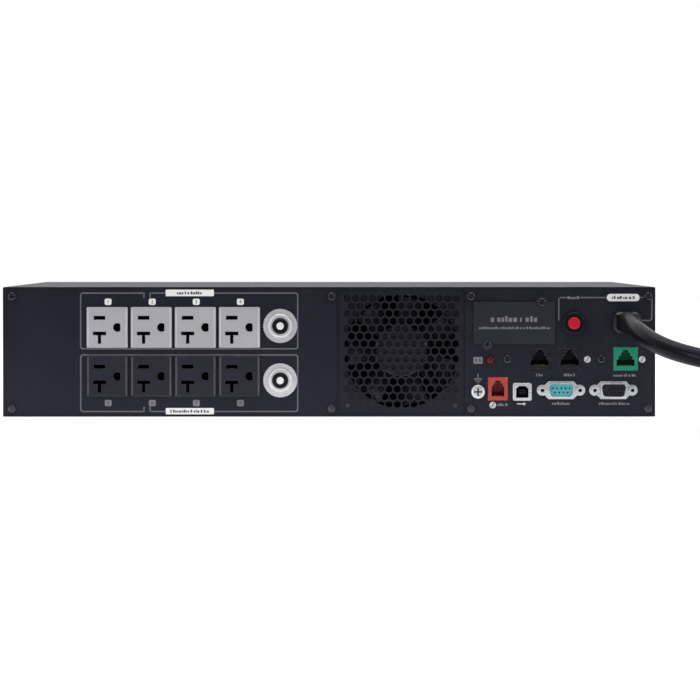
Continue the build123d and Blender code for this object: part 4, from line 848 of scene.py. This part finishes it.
def port_contacts():
    """Every port's contacts, and dark linings in the sockets; the near-black contacts and the linings
    are painted shade.
    """
    for node in ("surge_jack_in", "surge_jack_out", "sensor_jack"):
        jack_contacts(node, 8, MODULAR_PITCH, 4.5)
    jack_contacts("shutdown_jack", 6, MODULAR_PITCH, 4.9)
    # the type-B port's contacts, near black as painted shade in the socket
    x = middle("usb_insert").x / MM
    low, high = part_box("usb_insert")
    bm = bmesh.new()
    for dx in (-1.25, 1.25):
        for edge, sign in ((low.z, -1), (high.z, 1)):
            outline = bar(x + dx - 0.5, x + dx + 0.5, edge / MM, edge / MM + sign * 0.12)
            prism(bm, outline, low.y + 0.6 * MM, low.y + 7.0 * MM)
    mesh_object("usb_contacts", bm, MATERIALS["contact_painted_shade"])
    type_b_port()
    # a black tube and a disc inside each jackscrew's threaded hole: painted shade in the hole
    low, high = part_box("jackscrews")
    bm = bmesh.new()
    for x, z in jackscrew_places():
        tube_at(bm, x, z, 1.38, 1.05, low.y + 0.3 * MM, high.y - 0.5 * MM)
        prism(bm, disc(x, z, 1.05, 16), low.y + 2.6 * MM, low.y + 3.0 * MM)
    mesh_object("jackscrew_painted_shade", bm, MATERIALS["usb_black"])
    # the D-sub inserts' socket contacts, near black as painted shade in the pin holes
    for node in ("serial_insert", "contact_insert"):
        x, z = at(node)
        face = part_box(node)[0].y
        bm = bmesh.new()
        for row, count in ((PIN_ROW, 5), (-PIN_ROW, 4)):
            for i in range(count):
                tube_at(bm, x + (i - (count - 1) / 2) * PIN_PITCH, z + row, 0.6, 0.36,
                        face + 0.35 * MM, face + 3.0 * MM)
        mesh_object(f"{node}_contacts", bm, MATERIALS["contact_painted_shade"])


# ---------------------------------------------------------------- lead's relief and plug
def lathe(name, profile, centre, material, steps=40):
    """A round piece along Y from (distance towards -Y, radius) pairs in millimetres."""
    bm = bmesh.new()
    rings = []
    for along, radius in profile:
        rings.append([bm.verts.new((centre[0] + radius * MM * math.cos(2 * math.pi * i / steps),
                                    centre[1] - along * MM,
                                    centre[2] + radius * MM * math.sin(2 * math.pi * i / steps)))
                      for i in range(steps)])
    for a, b in zip(rings, rings[1:]):
        for i in range(steps):
            j = (i + 1) % steps
            bm.faces.new((a[i], b[i], b[j], a[j]))
    bm.faces.new(rings[0])
    bm.faces.new(list(reversed(rings[-1])))
    return mesh_object(name, bm, material, smooth=True)


def make_relief():
    """A tapered rubber sleeve with ribs, each a little slimmer than the last."""
    low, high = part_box("strain_relief")
    centre = ((low.x + high.x) / 2, high.y, (low.z + high.z) / 2)
    length = (high.y - low.y) / MM
    profile = [(0.0, 6.6), (0.0, 7.3), (2.2, 7.3), (2.8, 6.9)]
    ribs = 6
    rib_zone = length - 4.0
    for i in range(ribs):
        start = 3.0 + rib_zone * i / ribs
        pitch = rib_zone / ribs
        radius = 7.15 - 0.09 * i
        profile += [(start + pitch * 0.15, 6.45), (start + pitch * 0.35, 6.45),
                    (start + pitch * 0.45, radius), (start + pitch * 0.85, radius),
                    (start + pitch, 6.45)]
    profile += [(length - 0.3, 6.5), (length, 6.3)]
    piece = lathe("ribbed_relief", profile, centre, MATERIALS["cord_rubber"])
    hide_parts("strain_relief")
    return piece


def section(half_w, half_h, power, steps):
    """A superellipse's outline: power 2 is an ellipse, and more is squarer."""
    points = []
    for i in range(steps):
        angle = 2 * math.pi * i / steps
        c, s = math.cos(angle), math.sin(angle)
        points.append((half_w * math.copysign(abs(c) ** (2 / power), c),
                       half_h * math.copysign(abs(s) ** (2 / power), s)))
    return points


def make_plug():
    """A moulded plug: a ribbed tail, a waist to grip and a flat face round the blades."""
    low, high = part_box("plug_body")
    x, z = (low.x + high.x) / 2 / MM, (low.z + high.z) / 2 / MM
    stations = [(0.0, 6.5, 6.5, 2.0), (1.0, 6.9, 6.9, 2.0)]
    for i in range(5):
        start = 2.0 + 4.0 * i
        swell = 7.3 + 0.4 * i
        stations += [(start, swell - 0.7, swell - 0.7, 2.0), (start + 0.6, swell, swell, 2.0),
                     (start + 2.6, swell, swell, 2.0), (start + 3.2, swell - 0.7, swell - 0.7, 2.0)]
    stations += [(24.0, 9.0, 8.6, 2.2), (28.0, 11.0, 10.0, 2.6), (34.0, 15.0, 12.4, 3.0),
                 (40.0, 17.4, 13.6, 3.6), (46.0, 17.6, 13.6, 4.0), (52.0, 16.8, 13.2, 4.4),
                 (58.0, 17.4, 13.7, 4.6), (62.0, 18.4, 13.9, 5.0), (65.2, 18.4, 13.9, 5.0),
                 (66.0, 17.8, 13.4, 5.0)]
    steps = 48
    bm = bmesh.new()
    rings = []
    for along, half_w, half_h, power in stations:
        rings.append([bm.verts.new(((x + px) * MM, low.y + along * MM, (z + pz) * MM))
                      for px, pz in section(half_w, half_h, power, steps)])
    for a, b in zip(rings, rings[1:]):
        for i in range(steps):
            j = (i + 1) % steps
            bm.faces.new((a[i], a[j], b[j], b[i]))
    bm.faces.new(rings[0])
    bm.faces.new(rings[-1])
    piece = mesh_object("moulded_plug", bm, MATERIALS["cord_rubber"], smooth=True)
    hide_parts("plug_body")
    return piece


# ---------------------------------------------------------------- front
BEZEL_RECESS = 2.5        # how far the display's surround stands behind the bezel's front
LAMP_X, LAMP_LOW_Z, LAMP_PITCH, LAMP_R = 150.0, 13.5, 6.5, 0.9


def front_print():
    """The display's segments and the marks beside the buttons."""
    low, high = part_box("display_module")
    glass_y = high.y
    cx, cz = (low.x + high.x) / 2 / MM, (low.z + high.z) / 2 / MM

    def on_front(name, outlines, material, y, thickness=0.05):
        bm = bmesh.new()
        for outline in outlines:
            prism(bm, outline, y - 0.01 * MM, y + thickness * MM)
        return mesh_object(name, bm, material)

    segments = [rounded(cx, cz, 50.0, 25.0, 1.5)]
    on_front("display_area", segments, MATERIALS["lcd_glow"], glass_y)
    marks = []
    for i in range(5):
        left = cx + 15.0 - i * 3.2
        marks.append(bar(left, left + 2.2, cz - 9.0, cz - 7.4 + 1.2 * i))
    for digit in range(3):
        base = cx - 5.0 - digit * 7.0
        for z0 in (cz - 1.0, cz + 3.6):
            marks.append(bar(base, base + 0.8, z0, z0 + 3.8))
            marks.append(bar(base + 4.0, base + 4.8, z0, z0 + 3.8))
        for z0 in (cz - 1.8, cz + 3.0, cz + 7.6):
            marks.append(bar(base + 0.6, base + 4.2, z0, z0 + 0.7))
    marks.append(rounded(cx - 15.0, cz - 7.6, 9.0, 3.0, 0.6))
    on_front("display_marks", marks, MATERIALS["ink_dark"], glass_y, 0.09)

    face_y = BEZEL_Y - BEZEL_RECESS * MM
    x, z = at("power_button")
    button_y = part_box("power_button")[1].y
    bm = bmesh.new()
    tube_at(bm, x, z, 3.6, 2.9, button_y - 0.01 * MM, button_y + 0.06 * MM, 32)
    prism(bm, bar(x - 0.4, x + 0.4, z + 0.8, z + 4.2), button_y - 0.01 * MM, button_y + 0.07 * MM)
    mesh_object("power_mark", bm, MATERIALS["label_white"], body="power_button")
    for node, outline in (("scroll_button", [(-1.6, 0.9), (0.0, -1.4), (1.6, 0.9)]),
                          ("select_button", [(-1.2, -1.2), (1.2, -1.2), (1.2, 1.2), (-1.2, 1.2)])):
        x, z = at(node)
        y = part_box(node)[1].y
        bm = bmesh.new()
        prism(bm, [(x + dx, z + dz) for dx, dz in outline], y - 0.01 * MM, y + 0.06 * MM)
        mesh_object(f"{node}_mark", bm, MATERIALS["label_white"], body=node)
    lamps = [disc(LAMP_X, LAMP_LOW_Z + i * LAMP_PITCH, LAMP_R, 16) for i in range(3)]
    on_front("front_lamps", lamps, MATERIALS["lamp_green"], face_y, 0.3)
    on_front("front_rule", [bar(110.0, 208.0, 32.4, 32.8)], MATERIALS["ink_grey"], face_y)


def battery_dressing():
    """A sticker and two coloured terminal sleeves on each battery, which ride with the drawer."""
    low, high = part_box("batteries")
    long_x, deep_y = (high.x - low.x) / 2, (high.y - low.y) / 2
    top = high.z - 5.0 * MM
    label, bars = bmesh.new(), bmesh.new()
    sleeves = {"red_button": bmesh.new(), "usb_black": bmesh.new()}
    for i in (0, 1):
        for j in (0, 1):
            cx, cy = low.x + long_x * (i + 0.5), low.y + deep_y * (j + 0.5)
            flat_panel(label, cx, cy + 6 * MM, 96 * MM, 54 * MM, top, 0.12 * MM)
            for k, wide in enumerate((60, 74, 50, 66)):
                flat_panel(bars, cx - (74 - wide) / 2 * MM, cy + (20 - 9 * k) * MM, wide * MM,
                           (4.5 if k == 0 else 2.2) * MM, top + 0.12 * MM, 0.05 * MM)
            for side, finish_name in ((-1, "red_button"), (1, "usb_black")):
                flat_panel(sleeves[finish_name], cx + side * 62 * MM, cy - 38 * MM, 8.5 * MM,
                           3.4 * MM, top + 0.6 * MM, 4.8 * MM)
    mesh_object("battery_labels", label, MATERIALS["label_white"], body="battery_drawer")
    mesh_object("battery_label_bars", bars, MATERIALS["ink_dark"], body="battery_drawer")
    for finish_name, bm in sleeves.items():
        mesh_object(f"terminal_sleeves_{finish_name}", bm, MATERIALS[finish_name],
                    body="battery_drawer")


def flat_panel(bm, cx, cy, width, length, z, thickness):
    """A flat block, in metres."""
    corners = [(-1, -1), (1, -1), (1, 1), (-1, 1)]
    under = [bm.verts.new((cx + sx * width / 2, cy + sy * length / 2, z)) for sx, sy in corners]
    over = [bm.verts.new((v.co.x, v.co.y, z + thickness)) for v in under]
    bm.faces.new(list(reversed(under)))
    bm.faces.new(over)
    for i in range(4):
        j = (i + 1) % 4
        bm.faces.new((under[i], under[j], over[j], over[i]))


BULKHEAD_Y = 0.0105
RIVET_R = 2.4
RIVET_DOME = 0.32         # a rivet's height as a share of its radius


def rivets():
    """Domed rivets on the sides, where the inner walls are fixed."""
    bm = bmesh.new()
    for face in (BASE_LOW.x, BASE_HIGH.x):
        for y in (BULKHEAD_Y, REAR_Y + 12 * MM):
            for z in (0.018, 0.043, 0.068):
                made = bmesh.ops.create_uvsphere(bm, u_segments=20, v_segments=10,
                                                 radius=RIVET_R * MM)
                squeeze = (Matrix.Translation((face, y, z))
                           @ Matrix.Diagonal((RIVET_DOME, 1, 1, 1)))
                bmesh.ops.transform(bm, matrix=squeeze, verts=made["verts"])
    mesh_object("side_rivets", bm, MATERIALS["black_screw"], smooth=True)


make_floor()
make_surround()
make_light()
outlet_print()
outlet_rims()
io_print()
port_contacts()
relief = make_relief()
plug = make_plug()
front_print()
battery_dressing()
rivets()
